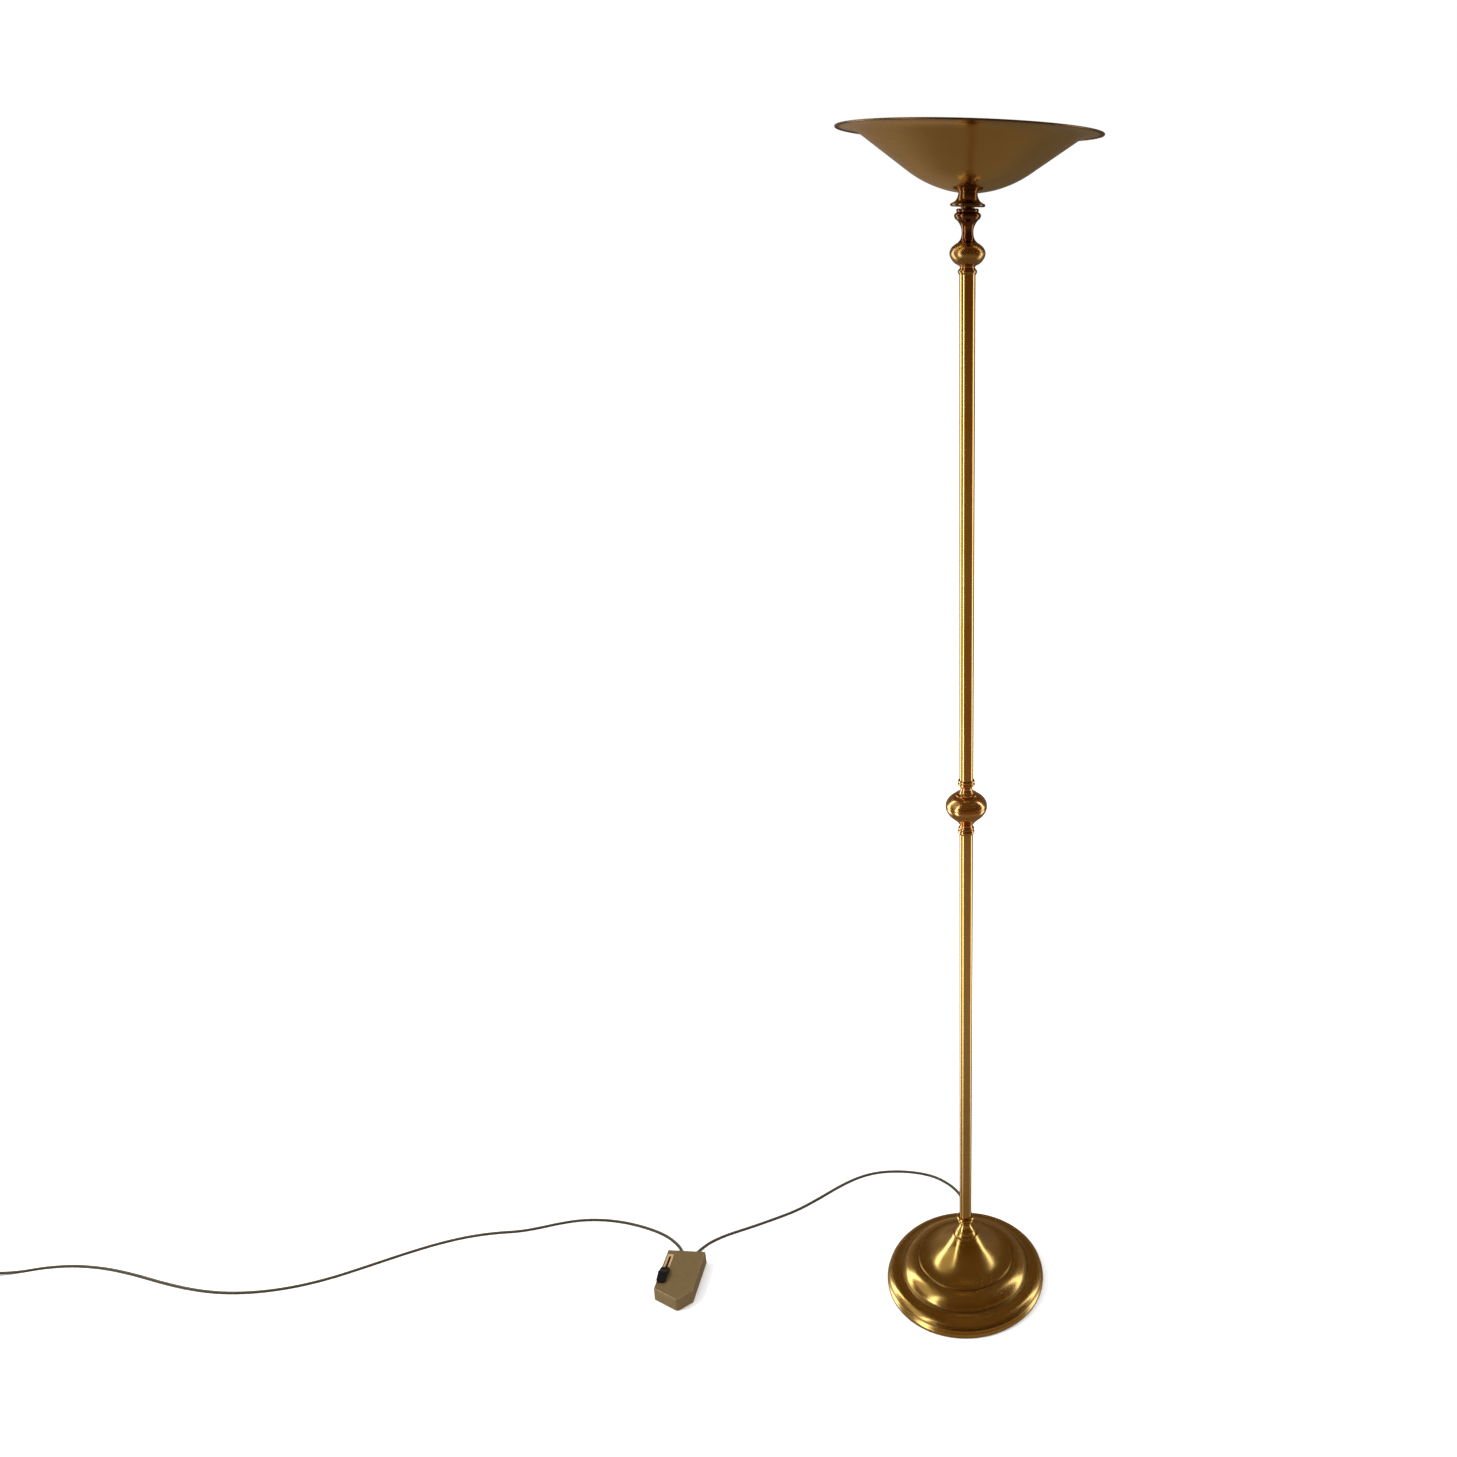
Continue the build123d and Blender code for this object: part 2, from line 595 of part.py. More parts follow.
flex_points = [
    (0, GLAND_END, GLAND_Z),
    (0, 0, GLAND_Z),
    (0, 0, HEAD_Z - 6),
    tuple(HEAD.from_local_coords(Vector(0, 0, 21))),
]
with BuildPart() as column_flex:
    with BuildLine() as flex_path:
        FilletPolyline(*flex_points, radius=[6.0, 60.0])
    with BuildSketch(Plane(flex_path.line @ 0, z_dir=flex_path.line % 0)):
        Circle(FLEX_R)
    sweep()
finish(column_flex.part, "column_flex")

# ---- foot dimmer, in its own plane: u across, v back, the back face at v = 0 ----
half_w = DIMMER_W / 2
slot_length = KNOB_TRAVEL + BLADE_LENGTH + 3
slot_middle = (SLOT_U, SLOT_BACK - slot_length / 2)
DIMMER_OUTLINE = [
    (-half_w, 0), (-half_w, -DIMMER_SIDE + 1), DIMMER_NOSE, (half_w, -DIMMER_SIDE), (half_w, 0),
]
SCREW_PLACES = [(-27, -6), (27, -6), (-27, -80), (26, -82)]


def dimmer_outline(inset, corner):
    """Plan of the dimmer, moved in by inset, with rounded corners; the nose is rounder."""
    with BuildSketch() as plan:
        Polygon(*DIMMER_OUTLINE, align=None)
        nose = plan.vertices().sort_by(Axis.Y)[0]
        others = plan.vertices().sort_by(Axis.Y)[1:]
        fillet(nose, 7)
        fillet(others, corner)
        if inset:
            offset(amount=-inset)
    return plan.sketch


with BuildPart() as dimmer_cover:
    with BuildSketch(DIMMER.offset(FOOT_T)):
        add(dimmer_outline(0, 3))
    extrude(amount=DIMMER_TOP - FOOT_T, taper=0.8)
    fillet(dimmer_cover.faces().sort_by(Axis.Z)[-1].edges(), 1.2)
    with BuildSketch(DIMMER.offset(FOOT_T)):
        add(dimmer_outline(DIMMER_WALL, 3))
    extrude(amount=DIMMER_TOP - FOOT_T - DIMMER_WALL, taper=0.8, mode=Mode.SUBTRACT)
    with BuildSketch(DIMMER.offset(FOOT_T + PLATE_T)):
        with Locations(*SCREW_PLACES):
            Circle(SCREW_BOSS_R)
    extrude(amount=DIMMER_TOP - FOOT_T - PLATE_T - 1)
    with BuildSketch(DIMMER.offset(FOOT_T + PLATE_T)):
        with Locations(*SCREW_PLACES):
            Circle(SCREW_R + 0.05)
    extrude(amount=12, mode=Mode.SUBTRACT)
    with BuildSketch(DIMMER.offset(DIMMER_TOP - DIMMER_WALL - 1)):
        with Locations(slot_middle):
            SlotOverall(slot_length, SLOT_W, rotation=90)
    extrude(amount=DIMMER_WALL + 2, mode=Mode.SUBTRACT)
    back_face = Plane(
        origin=DIMMER.origin + Vector(0, 0, CORD_HOLE_Z), x_dir=DIMMER.x_dir, z_dir=DIMMER.y_dir,
    )
    with BuildSketch(back_face):
        with Locations((SUPPLY_U, 0), (LAMP_CORD_U, 0)):
            Circle(CORD_HOLE_R)
    extrude(amount=6, both=True, mode=Mode.SUBTRACT)
finish(dimmer_cover.part, "dimmer_cover")

with BuildPart() as dimmer_bezel:
    bezel_length = slot_length + 9
    with BuildSketch(DIMMER.offset(DIMMER_TOP)):
        with Locations(slot_middle):
            RectangleRounded(11, bezel_length, 1)
            SlotOverall(slot_length, SLOT_W, rotation=90, mode=Mode.SUBTRACT)
    extrude(amount=BEZEL_T)
    chamfer(dimmer_bezel.faces().sort_by(Axis.Z)[-1].outer_wire().edges(), 0.4)
finish(dimmer_bezel.part, "dimmer_bezel")

with BuildPart() as dimmer_plate:
    with BuildSketch(DIMMER.offset(FOOT_T)):
        add(dimmer_outline(DIMMER_WALL + 0.3, 3))
        with Locations(*SCREW_PLACES):
            Circle(SCREW_R + 0.5, mode=Mode.SUBTRACT)
    extrude(amount=PLATE_T)
    with BuildSketch(DIMMER.offset(FOOT_T)):
        with Locations(*SCREW_PLACES):
            Circle(SCREW_HEAD_R + 0.2)
    extrude(amount=SCREW_HEAD_T + 0.05, mode=Mode.SUBTRACT)
finish(dimmer_plate.part, "dimmer_plate")

with BuildPart() as dimmer_screws:
    with BuildSketch(DIMMER.offset(FOOT_T)):
        with Locations(*SCREW_PLACES):
            Circle(SCREW_HEAD_R)
    extrude(amount=SCREW_HEAD_T)
    with BuildSketch(DIMMER.offset(FOOT_T)):
        with Locations(*SCREW_PLACES):
            Circle(SCREW_R)
    extrude(amount=11)
    with BuildSketch(DIMMER.offset(FOOT_T)):
        with Locations(*SCREW_PLACES):
            Rectangle(3.6, 0.8)
            Rectangle(0.8, 3.6)
    extrude(amount=0.7, mode=Mode.SUBTRACT)
finish(dimmer_screws.part, "dimmer_screws")

with BuildPart() as dimmer_feet:
    with BuildSketch(DIMMER):
        with Locations((-21, -16), (21, -16), (-21, -70), (21, -70)):
            Circle(4)
    extrude(amount=FOOT_T)
finish(dimmer_feet.part, "dimmer_feet")

with BuildPart() as dimmer_board:
    with BuildSketch(DIMMER.offset(BOARD_Z)):
        with Locations((-0.5, -44)):
            Rectangle(59, 64)
    extrude(amount=BOARD_T)
    # stand-off bosses under the board
    with BuildSketch(DIMMER.offset(FOOT_T + PLATE_T)):
        with Locations((-20, -30), (22, -30), (-20, -66), (22, -66)):
            Circle(2)
    extrude(amount=BOARD_Z - FOOT_T - PLATE_T)
finish(dimmer_board.part, "dimmer_board")

board_top = BOARD_Z + BOARD_T
pot_length = slot_length + 5
with BuildPart() as potentiometer:
    with BuildSketch(DIMMER.offset(board_top)):
        with Locations(slot_middle):
            Rectangle(10, pot_length)
    extrude(amount=8)
    with BuildSketch(DIMMER.offset(board_top + 3)):
        with Locations(slot_middle):
            Rectangle(3.2, slot_length)
    extrude(amount=5, mode=Mode.SUBTRACT)
finish(potentiometer.part, "potentiometer")

with BuildPart() as slider_blade:
    with BuildSketch(DIMMER.offset(board_top + 4)):
        with Locations((SLOT_U, KNOB_V)):
            Rectangle(2.2, BLADE_LENGTH)
    extrude(amount=DIMMER_TOP + 5 - board_top - 4)
    with BuildSketch(DIMMER.offset(board_top + 8.4)):
        with Locations((SLOT_U, KNOB_V)):
            Rectangle(7, 11)
    extrude(amount=2.4)
finish(slider_blade.part, "slider_blade")

knob_foot = DIMMER_TOP + BEZEL_T + 0.4
knob_side = Plane(
    origin=DIMMER.from_local_coords(Vector(SLOT_U, KNOB_V, 0)), x_dir=DIMMER.y_dir, z_dir=DIMMER.x_dir,
)
with BuildPart() as slider_knob:
    with BuildSketch(knob_side):
        with BuildLine():
            Polyline((-15.5, knob_foot), (15.5, knob_foot), (15.5, knob_foot + 3.4))
            back = ThreePointArc((15.5, knob_foot + 3.4), (7.6, knob_foot + 5.3), (1.0, knob_foot + 8.4))
            ridge = ThreePointArc(back @ 1, (0, knob_foot + 8.8), (-1.0, knob_foot + 8.4))
            front = ThreePointArc(ridge @ 1, (-7.6, knob_foot + 5.3), (-15.5, knob_foot + 3.4))
            Line(front @ 1, (-15.5, knob_foot))
        make_face()
    extrude(amount=7.6, both=True)
    fillet(slider_knob.edges().filter_by(Axis.Z), 3.2)
    with BuildSketch(DIMMER.offset(knob_foot)):
        with Locations((SLOT_U, KNOB_V)):
            Rectangle(2.3, BLADE_LENGTH + 0.1)
    extrude(amount=DIMMER_TOP + 5.05 - knob_foot, mode=Mode.SUBTRACT)
finish(slider_knob.part, "slider_knob")

with BuildPart() as heat_sink:
    with BuildSketch(DIMMER.offset(board_top)):
        with Locations((8, -72)):
            Rectangle(26, 1.6)
        with Locations((-4.2, -69), (20.2, -69)):
            Rectangle(1.6, 7.6)
    extrude(amount=14)
finish(heat_sink.part, "heat_sink")

with BuildPart() as triac:
    with BuildSketch(DIMMER.offset(board_top)):
        with Locations((8, -68.9)):
            Rectangle(10, 4.4)
    extrude(amount=13)
finish(triac.part, "triac")

with BuildPart() as choke:
    with BuildSketch(DIMMER.offset(board_top)):
        with Locations((2, -52)):
            Circle(9)
            Circle(3.5, mode=Mode.SUBTRACT)
    extrude(amount=7)
    fillet(choke.edges(), 2)
finish(choke.part, "choke")

with BuildPart() as capacitor:
    with BuildSketch(DIMMER.offset(board_top)):
        with Locations((20, -52)):
            Rectangle(8, 18)
    extrude(amount=12)
    fillet(capacitor.edges().filter_by(Axis.Z), 1)
finish(capacitor.part, "capacitor")

with BuildPart() as fuse:
    with BuildSketch(DIMMER.offset(board_top)):
        with Locations((0.5, -36), (17.5, -36)):
            Rectangle(3, 6.4)
    extrude(amount=5.4)
    fuse_end = DIMMER.from_local_coords(Vector(-2, -36, board_top + 5.4))
    with BuildSketch(Plane(origin=fuse_end, x_dir=DIMMER.y_dir, z_dir=DIMMER.x_dir)):
        Circle(2.6)
    extrude(amount=22)
finish(fuse.part, "fuse")

with BuildPart() as terminal_block:
    with BuildSketch(DIMMER.offset(board_top)):
        with Locations((-1, -22)):
            Rectangle(32, 11)
    extrude(amount=9)
    with BuildSketch(DIMMER.offset(board_top + 6)):
        with Locations((-13, -22), (-5, -22), (3, -22), (11, -22)):
            Circle(2)
    extrude(amount=3, mode=Mode.SUBTRACT)
finish(terminal_block.part, "terminal_block")

clamp_top = CORD_HOLE_Z + CORD_R + 0.1
CLAMP_SCREWS = [(-20.5, -6), (18, -6)]
CLAMP_BAR_T = 2.6
with BuildPart() as cord_clamp:
    with BuildSketch(DIMMER.offset(FOOT_T + PLATE_T)):
        with Locations(CLAMP_SCREWS[0], (-1.2, -6), CLAMP_SCREWS[1]):
            Rectangle(6, 4)
    extrude(amount=clamp_top - FOOT_T - PLATE_T)
    with BuildSketch(DIMMER.offset(clamp_top)):
        with Locations((-1.2, -6)):
            Rectangle(44.6, 4)
    extrude(amount=CLAMP_BAR_T)
    with BuildSketch(DIMMER.offset(FOOT_T + PLATE_T)):
        with Locations(*CLAMP_SCREWS):
            Circle(1.2)
    extrude(amount=20, mode=Mode.SUBTRACT)
finish(cord_clamp.part, "cord_clamp")

with BuildPart() as clamp_screws:
    with BuildSketch(DIMMER.offset(FOOT_T + PLATE_T + 1)):
        with Locations(*CLAMP_SCREWS):
            Circle(1.15)
    extrude(amount=clamp_top + CLAMP_BAR_T - FOOT_T - PLATE_T - 1)
    with BuildSketch(DIMMER.offset(clamp_top + CLAMP_BAR_T)):
        with Locations(*CLAMP_SCREWS):
            Circle(2.2)
    extrude(amount=1.4)
finish(clamp_screws.part, "clamp_screws")

# ---- plug ----
PIN_PLACES = [(-PLUG_PIN_SPACING / 2, 0), (PLUG_PIN_SPACING / 2, 0)]
with BuildPart() as plug_body:
    with BuildSketch(PLUG):
        RectangleRounded(PLUG_W, PLUG_H, PLUG_CORNER)
    with BuildSketch(PLUG.offset(7)):
        RectangleRounded(PLUG_W, PLUG_H, PLUG_CORNER)
    with BuildSketch(PLUG.offset(PLUG_LENGTH)):
        RectangleRounded(13.0, 11.0, PLUG_CORNER)
    loft(ruled=True)
    with BuildSketch(PLUG):
        with Locations(*PIN_PLACES):
            Circle(PLUG_SHANK_R)
    extrude(amount=PLUG_SHANK_DEPTH, mode=Mode.SUBTRACT)
finish(plug_body.part, "plug_body")

with BuildPart() as plug_pins:
    with BuildSketch(PLUG.offset(-PLUG_PIN_LENGTH)):
        with Locations(*PIN_PLACES):
            Circle(PLUG_PIN_R)
    extrude(amount=PLUG_PIN_LENGTH - PLUG_SLEEVE_LENGTH)
    with BuildSketch(PLUG.offset(-PLUG_SLEEVE_LENGTH)):
        with Locations(*PIN_PLACES):
            Circle(PLUG_SHANK_R)
    extrude(amount=PLUG_SLEEVE_LENGTH + PLUG_SHANK_DEPTH)
    fillet(plug_pins.faces().sort_by(Axis.X)[:2].edges(), 1)
finish(plug_pins.part, "plug_pins")

with BuildPart() as pin_sleeves:
    with BuildSketch(PLUG.offset(-PLUG_SLEEVE_LENGTH)):
        with Locations(*PIN_PLACES):
            Circle(PLUG_SLEEVE_R)
            Circle(PLUG_SHANK_R, mode=Mode.SUBTRACT)
    extrude(amount=PLUG_SLEEVE_LENGTH)
finish(pin_sleeves.part, "pin_sleeves")

relief_end = PLUG_X + PLUG_LENGTH + PLUG_RELIEF
with BuildPart() as plug_relief:
    with BuildSketch(Plane.XZ):
        with BuildLine():
            Polyline(
                (PLUG_X + PLUG_LENGTH, PLUG_Z), (PLUG_X + PLUG_LENGTH, PLUG_Z + 5.0),
                (relief_end, PLUG_Z + 3.3), (relief_end, PLUG_Z), (PLUG_X + PLUG_LENGTH, PLUG_Z),
            )
        make_face()
    revolve(axis=Axis((0, 0, PLUG_Z), (1, 0, 0)))
finish(plug_relief.part, "plug_relief")

# ---- cords ----
exit_a = DIMMER.from_local_coords(Vector(LAMP_CORD_U, -4, CORD_HOLE_Z))
exit_b = DIMMER.from_local_coords(Vector(SUPPLY_U, -4, CORD_HOLE_Z))
LAMP_CORD = [
    (0, GLAND_END, GLAND_Z), (0, 164, GLAND_Z), (-2, 176, 4.4), (-8, 191, CORD_Z),
    (-18, 208, CORD_Z), (-35, 226, CORD_Z), (-60, 243, CORD_Z), (-93, 253, CORD_Z),
    (-130, 256.5, CORD_Z), (-168, 253, CORD_Z), (-203, 239, CORD_Z), (-236, 215, CORD_Z),
    (-270, 184, CORD_Z), (-306, 154, CORD_Z), (-345, 132, CORD_Z), (-386, 111, CORD_Z),
    (-425, 93, CORD_Z), (-451, 76, CORD_Z), (-466, 58, CORD_Z), (-471, 44, 4.8),
    (-471.6, 33.5, CORD_HOLE_Z), tuple(exit_a),
]
SUPPLY_CORD = [
    tuple(exit_b), (-495.1, 34, CORD_HOLE_Z), (-495.4, 45, 4.8), (-500, 58.5, CORD_Z),
    (-512, 73, CORD_Z), (-531, 89, CORD_Z), (-557, 103, CORD_Z), (-588, 115, CORD_Z),
    (-622, 124.5, CORD_Z), (-658, 129.5, CORD_Z), (-695, 129, CORD_Z), (-732, 121, CORD_Z),
    (-766, 109.5, CORD_Z), (-799, 101, CORD_Z), (-836, 98, CORD_Z), (-876, 91, CORD_Z),
    (-915, 79, CORD_Z), (-955, 62, CORD_Z), (-996, 41, CORD_Z), (-1040, 17, CORD_Z),
    (-1088, -8, CORD_Z), (-1140, -27, CORD_Z), (-1196, -38, CORD_Z), (-1254, -40, CORD_Z),
    (-1312, -32, CORD_Z), (-1370, -17, CORD_Z), (-1428, 1, CORD_Z), (-1486, 15, CORD_Z),
    (-1542, 21, CORD_Z), (-1590, 17, CORD_Z), (-1627, 7, CORD_Z), (-1654, 1, 4.4),
    (-1669, 0, PLUG_Z), (relief_end, 0, PLUG_Z),
]
for cord_name, route in (("cord_lamp", LAMP_CORD), ("cord_supply", SUPPLY_CORD)):
    radii = route_radii(route)
    with BuildPart() as cord:
        with BuildLine() as path:
            FilletPolyline(*route, radius=radii)
        with BuildSketch(Plane(path.line @ 0, z_dir=path.line % 0)):
            Circle(CORD_R)
        sweep()
    finish(cord.part, cord_name)
    length = sum(edge.length for edge in path.edges())
    volume_ratio = cord.part.volume / (pi * CORD_R**2 * length)
    print(cord_name, "radii", [round(radius) for radius in radii])
    print(cord_name, "length", round(length, 1), "volume ratio", round(volume_ratio, 4))
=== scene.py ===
import json
import math

import bmesh
import bpy
from mathutils import Matrix, Vector


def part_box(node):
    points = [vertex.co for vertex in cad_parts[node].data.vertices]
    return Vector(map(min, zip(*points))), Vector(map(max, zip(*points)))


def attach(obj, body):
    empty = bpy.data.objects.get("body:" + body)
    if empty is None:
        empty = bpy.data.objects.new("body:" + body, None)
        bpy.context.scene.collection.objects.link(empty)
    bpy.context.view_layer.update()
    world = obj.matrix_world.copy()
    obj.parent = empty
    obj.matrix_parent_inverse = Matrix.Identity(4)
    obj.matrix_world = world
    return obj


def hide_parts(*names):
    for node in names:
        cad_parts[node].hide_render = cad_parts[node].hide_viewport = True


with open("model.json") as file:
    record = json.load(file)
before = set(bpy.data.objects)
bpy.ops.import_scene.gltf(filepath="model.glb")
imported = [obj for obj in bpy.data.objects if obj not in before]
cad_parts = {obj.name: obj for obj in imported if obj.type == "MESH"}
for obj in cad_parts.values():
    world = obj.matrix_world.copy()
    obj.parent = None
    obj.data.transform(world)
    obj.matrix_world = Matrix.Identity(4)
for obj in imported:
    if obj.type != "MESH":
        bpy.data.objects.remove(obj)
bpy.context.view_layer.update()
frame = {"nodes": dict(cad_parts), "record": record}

NODES = frame["nodes"]
scene = bpy.context.scene

# ---- measures, in metres ----
FLEX_LOBE = 0.0014          # radius of one core of the twin flex
FLEX_SPREAD = 0.0013        # half the distance between its two cores
FLEX_Z = FLEX_LOBE + 0.0001
GLAND_Z = 0.0065
DIMMER_HOLE_Z = 0.007
PLUG_Z = 0.0069
HEAD_Z = 1.681
HEAD_LEAN = math.radians(1.6)
HEAD_AXIS = ((0, 0, HEAD_Z), HEAD_LEAN)
UPRIGHT = ((0, 0, 0), 0.0)
LAMP_Z = 0.054              # axis of the halogen lamp, above the foot of the head
BULB_INSIDE = 0.004         # radius of the supports in its quartz tube
DIMMER_YAW = math.radians(-3.9)
DIMMER_AT = Vector((-0.4823, 0.0305, 0.0))

HEAD = Matrix.Translation((0, 0, HEAD_Z)) @ Matrix.Rotation(HEAD_LEAN, 4, "Y")
DIMMER = Matrix.Translation(DIMMER_AT) @ Matrix.Rotation(DIMMER_YAW, 4, "Z")

# ---- camera ----
camera_data = bpy.data.cameras.new("camera")
camera_data.sensor_width = 36
camera_data.lens = 30.54
camera_data.shift_x = -0.1589
camera_data.shift_y = 0.0130
camera = bpy.data.objects.new("camera", camera_data)
camera.location = (-0.0091, -1.6229, 1.642)
camera.rotation_euler = (math.radians(67.8), 0, 0)
scene.collection.objects.link(camera)
scene.camera = camera


# ---- cords ----
def new_object(name, data, body="lamp"):
    """An object in the scene that moves with the body, or with nothing."""
    data.name = name
    piece = bpy.data.objects.new(name, data)
    scene.collection.objects.link(piece)
    if body:
        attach(piece, body)
    return piece


def route_spline(name, route):
    """The cord's own line: one open NURBS spline with the route's points as control points."""
    data = bpy.data.curves.new(name, "CURVE")
    data.dimensions = "3D"
    data.resolution_u = 10
    spline = data.splines.new("NURBS")
    spline.points.add(len(route) - 1)
    for point, place in zip(spline.points, route):
        point.co = (*place, 1)
    spline.order_u = 3
    spline.use_endpoint_u = True
    return data


def spline_points(data):
    """Points along the smooth line that the spline makes."""
    holder = bpy.data.objects.new(data.name + "_line", data)
    scene.collection.objects.link(holder)
    bpy.context.view_layer.update()
    evaluated = holder.evaluated_get(bpy.context.evaluated_depsgraph_get())
    line = bpy.data.meshes.new_from_object(evaluated)
    points = [vertex.co.copy() for vertex in line.vertices]
    bpy.data.objects.remove(holder)
    bpy.data.meshes.remove(line)
    return points


def twin_section():
    """Outline of the flat twin flex: two round cores side by side, joined by a web."""
    outline = []
    steps = 14
    open_angle = math.radians(138)
    for side in (1, -1):
        for step in range(steps + 1):
            angle = -open_angle + 2 * open_angle * step / steps
            across = side * (FLEX_SPREAD + FLEX_LOBE * math.cos(angle))
            outline.append((across, side * FLEX_LOBE * math.sin(angle)))
    return outline


def circle(sides):
    """Evenly spaced points on a circle of radius 1."""
    turns = [math.tau * side / sides for side in range(sides)]
    return [(math.cos(turn), math.sin(turn)) for turn in turns]


def join_rings(mesh, rings, closed=False, halves=False):
    """Smooth faces from each ring of vertices to the next, with flat ends unless closed.

    With halves, the second half of each ring takes the second material.
    """
    pairs = list(zip(rings, rings[1:]))
    if closed:
        pairs.append((rings[-1], rings[0]))
    for ring, following in pairs:
        count = len(ring)
        for place in range(count):
            beside = (place + 1) % count
            face = mesh.faces.new((ring[place], ring[beside], following[beside], following[place]))
            face.smooth = True
            face.material_index = int(halves and place >= count // 2)
    if not closed:
        mesh.faces.new(rings[0][::-1])
        mesh.faces.new(rings[-1])


def finished_mesh(mesh, sharp=40):
    """The bmesh as an object's data; edges of more than sharp degrees are not smoothed over."""
    bmesh.ops.recalc_face_normals(mesh, faces=mesh.faces)
    if sharp:
        for edge in mesh.edges:
            edge.smooth = edge.calc_face_angle(0.0) < math.radians(sharp)
    data = bpy.data.meshes.new("mesh")
    mesh.to_mesh(data)
    mesh.free()
    return data


def twin_flex(points):
    """A mesh of the twin section swept along points, lying flat."""
    section = twin_section()
    mesh = bmesh.new()
    rings = []
    for index, point in enumerate(points):
        ahead = points[min(index + 1, len(points) - 1)] - points[max(index - 1, 0)]
        across = ahead.cross(Vector((0, 0, 1))).normalized()
        up = across.cross(ahead).normalized()
        rings.append([mesh.verts.new(point + across * u + up * v) for u, v in section])
    join_rings(mesh, rings, halves=True)
    return finished_mesh(mesh, sharp=None)


def add_wire(mesh, points, radius, normal, closed=False):
    """A round wire along points; normal is a direction that the wire never runs in."""
    count = len(points)
    rings = []
    for index, point in enumerate(points):
        before = points[index - 1] if closed else points[max(index - 1, 0)]
        after = points[(index + 1) % count] if closed else points[min(index + 1, count - 1)]
        ahead = (after - before).normalized()
        across = ahead.cross(normal).normalized()
        up = across.cross(ahead)
        rings.append([mesh.verts.new(point + radius * (u * across + v * up)) for u, v in circle(6)])
    join_rings(mesh, rings, closed=closed)


def turned_shape(start, axis, profile, hollow=False):
    """A turned mesh: its profile gives distance along the axis from start, and radius."""
    side_a = axis.orthogonal().normalized()
    side_b = axis.cross(side_a)
    mesh = bmesh.new()
    rings = []
    for along, radius in profile:
        centre = start + along * axis
        rings.append([mesh.verts.new(centre + radius * (u * side_a + v * side_b)) for u, v in circle(48)])
    join_rings(mesh, rings, closed=hollow)
    return finished_mesh(mesh)


def ribs(start, end, wide, narrow, pitch=0.0027, depth=0.0006):
    """The ribbed part of a strain relief's profile, tapering from wide to narrow."""
    count = round((end - start) / pitch)
    profile = []
    for rib in range(count):
        for part, cut in ((0.0, 0.0), (0.45, 0.0), (0.55, depth), (0.9, depth)):
            share = (rib + part) / count
            profile.append((start + share * (end - start), wide + share * (narrow - wide) - cut))
    return profile + [(end, narrow)]


def ribbed_gland():
    """The sleeve in the base's cord hole: a flange, the neck in the wall, a collar, then ribs."""
    low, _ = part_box("cord_gland")
    bore, flange, neck, collar = 0.0023, 0.0052, 0.0040, 0.0053
    head = [
        (0, bore), (0, flange), (0.0020, flange), (0.0020, neck), (0.0056, neck), (0.0056, 0.0051),
        (0.0058, collar), (0.0077, collar), (0.0080, 0.0051), (0.0090, 0.0047),
    ]
    profile = head + ribs(0.0105, 0.0270, 0.0046, 0.0034) + [(0.0280, 0.0033), (0.0280, bore)]
    start = Vector((0, low[1], GLAND_Z))
    return turned_shape(start, Vector((0, 1, 0)), profile, hollow=True)


def ribbed_relief():
    """The ribbed sleeve behind the plug's body."""
    low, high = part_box("plug_relief")
    length = high[0] - low[0]
    profile = [(0, 0.0050), (0.0030, 0.0048)] + ribs(0.0040, length - 0.0020, 0.0047, 0.0034)
    start = Vector((low[0], 0, PLUG_Z))
    return turned_shape(start, Vector((1, 0, 0)), profile + [(length, 0.0032)])


gland = new_object("ribbed_gland", ribbed_gland())
relief = new_object("ribbed_relief", ribbed_relief())
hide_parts("cord_gland")
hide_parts("plug_relief")

# Where each cord leaves the dimmer, and the routes: to the lamp's base, and to the wall plug
exit_a = DIMMER @ Vector((0.0105, -0.004, DIMMER_HOLE_Z))
exit_b = DIMMER @ Vector((-0.013, -0.004, DIMMER_HOLE_Z))
LAMP_ROUTE = [
    (0, 0.156, GLAND_Z), (0, 0.164, GLAND_Z), (-0.002, 0.176, 0.0044), (-0.008, 0.191, FLEX_Z),
    (-0.018, 0.208, FLEX_Z), (-0.035, 0.226, FLEX_Z), (-0.060, 0.243, FLEX_Z), (-0.093, 0.253, FLEX_Z),
    (-0.130, 0.2565, FLEX_Z), (-0.168, 0.253, FLEX_Z), (-0.203, 0.239, FLEX_Z), (-0.236, 0.215, FLEX_Z),
    (-0.270, 0.184, FLEX_Z), (-0.306, 0.154, FLEX_Z), (-0.345, 0.132, FLEX_Z), (-0.386, 0.111, FLEX_Z),
    (-0.425, 0.093, FLEX_Z), (-0.451, 0.076, FLEX_Z), (-0.466, 0.058, FLEX_Z), (-0.471, 0.044, 0.0048),
    (-0.4716, 0.0335, DIMMER_HOLE_Z), tuple(exit_a),
]
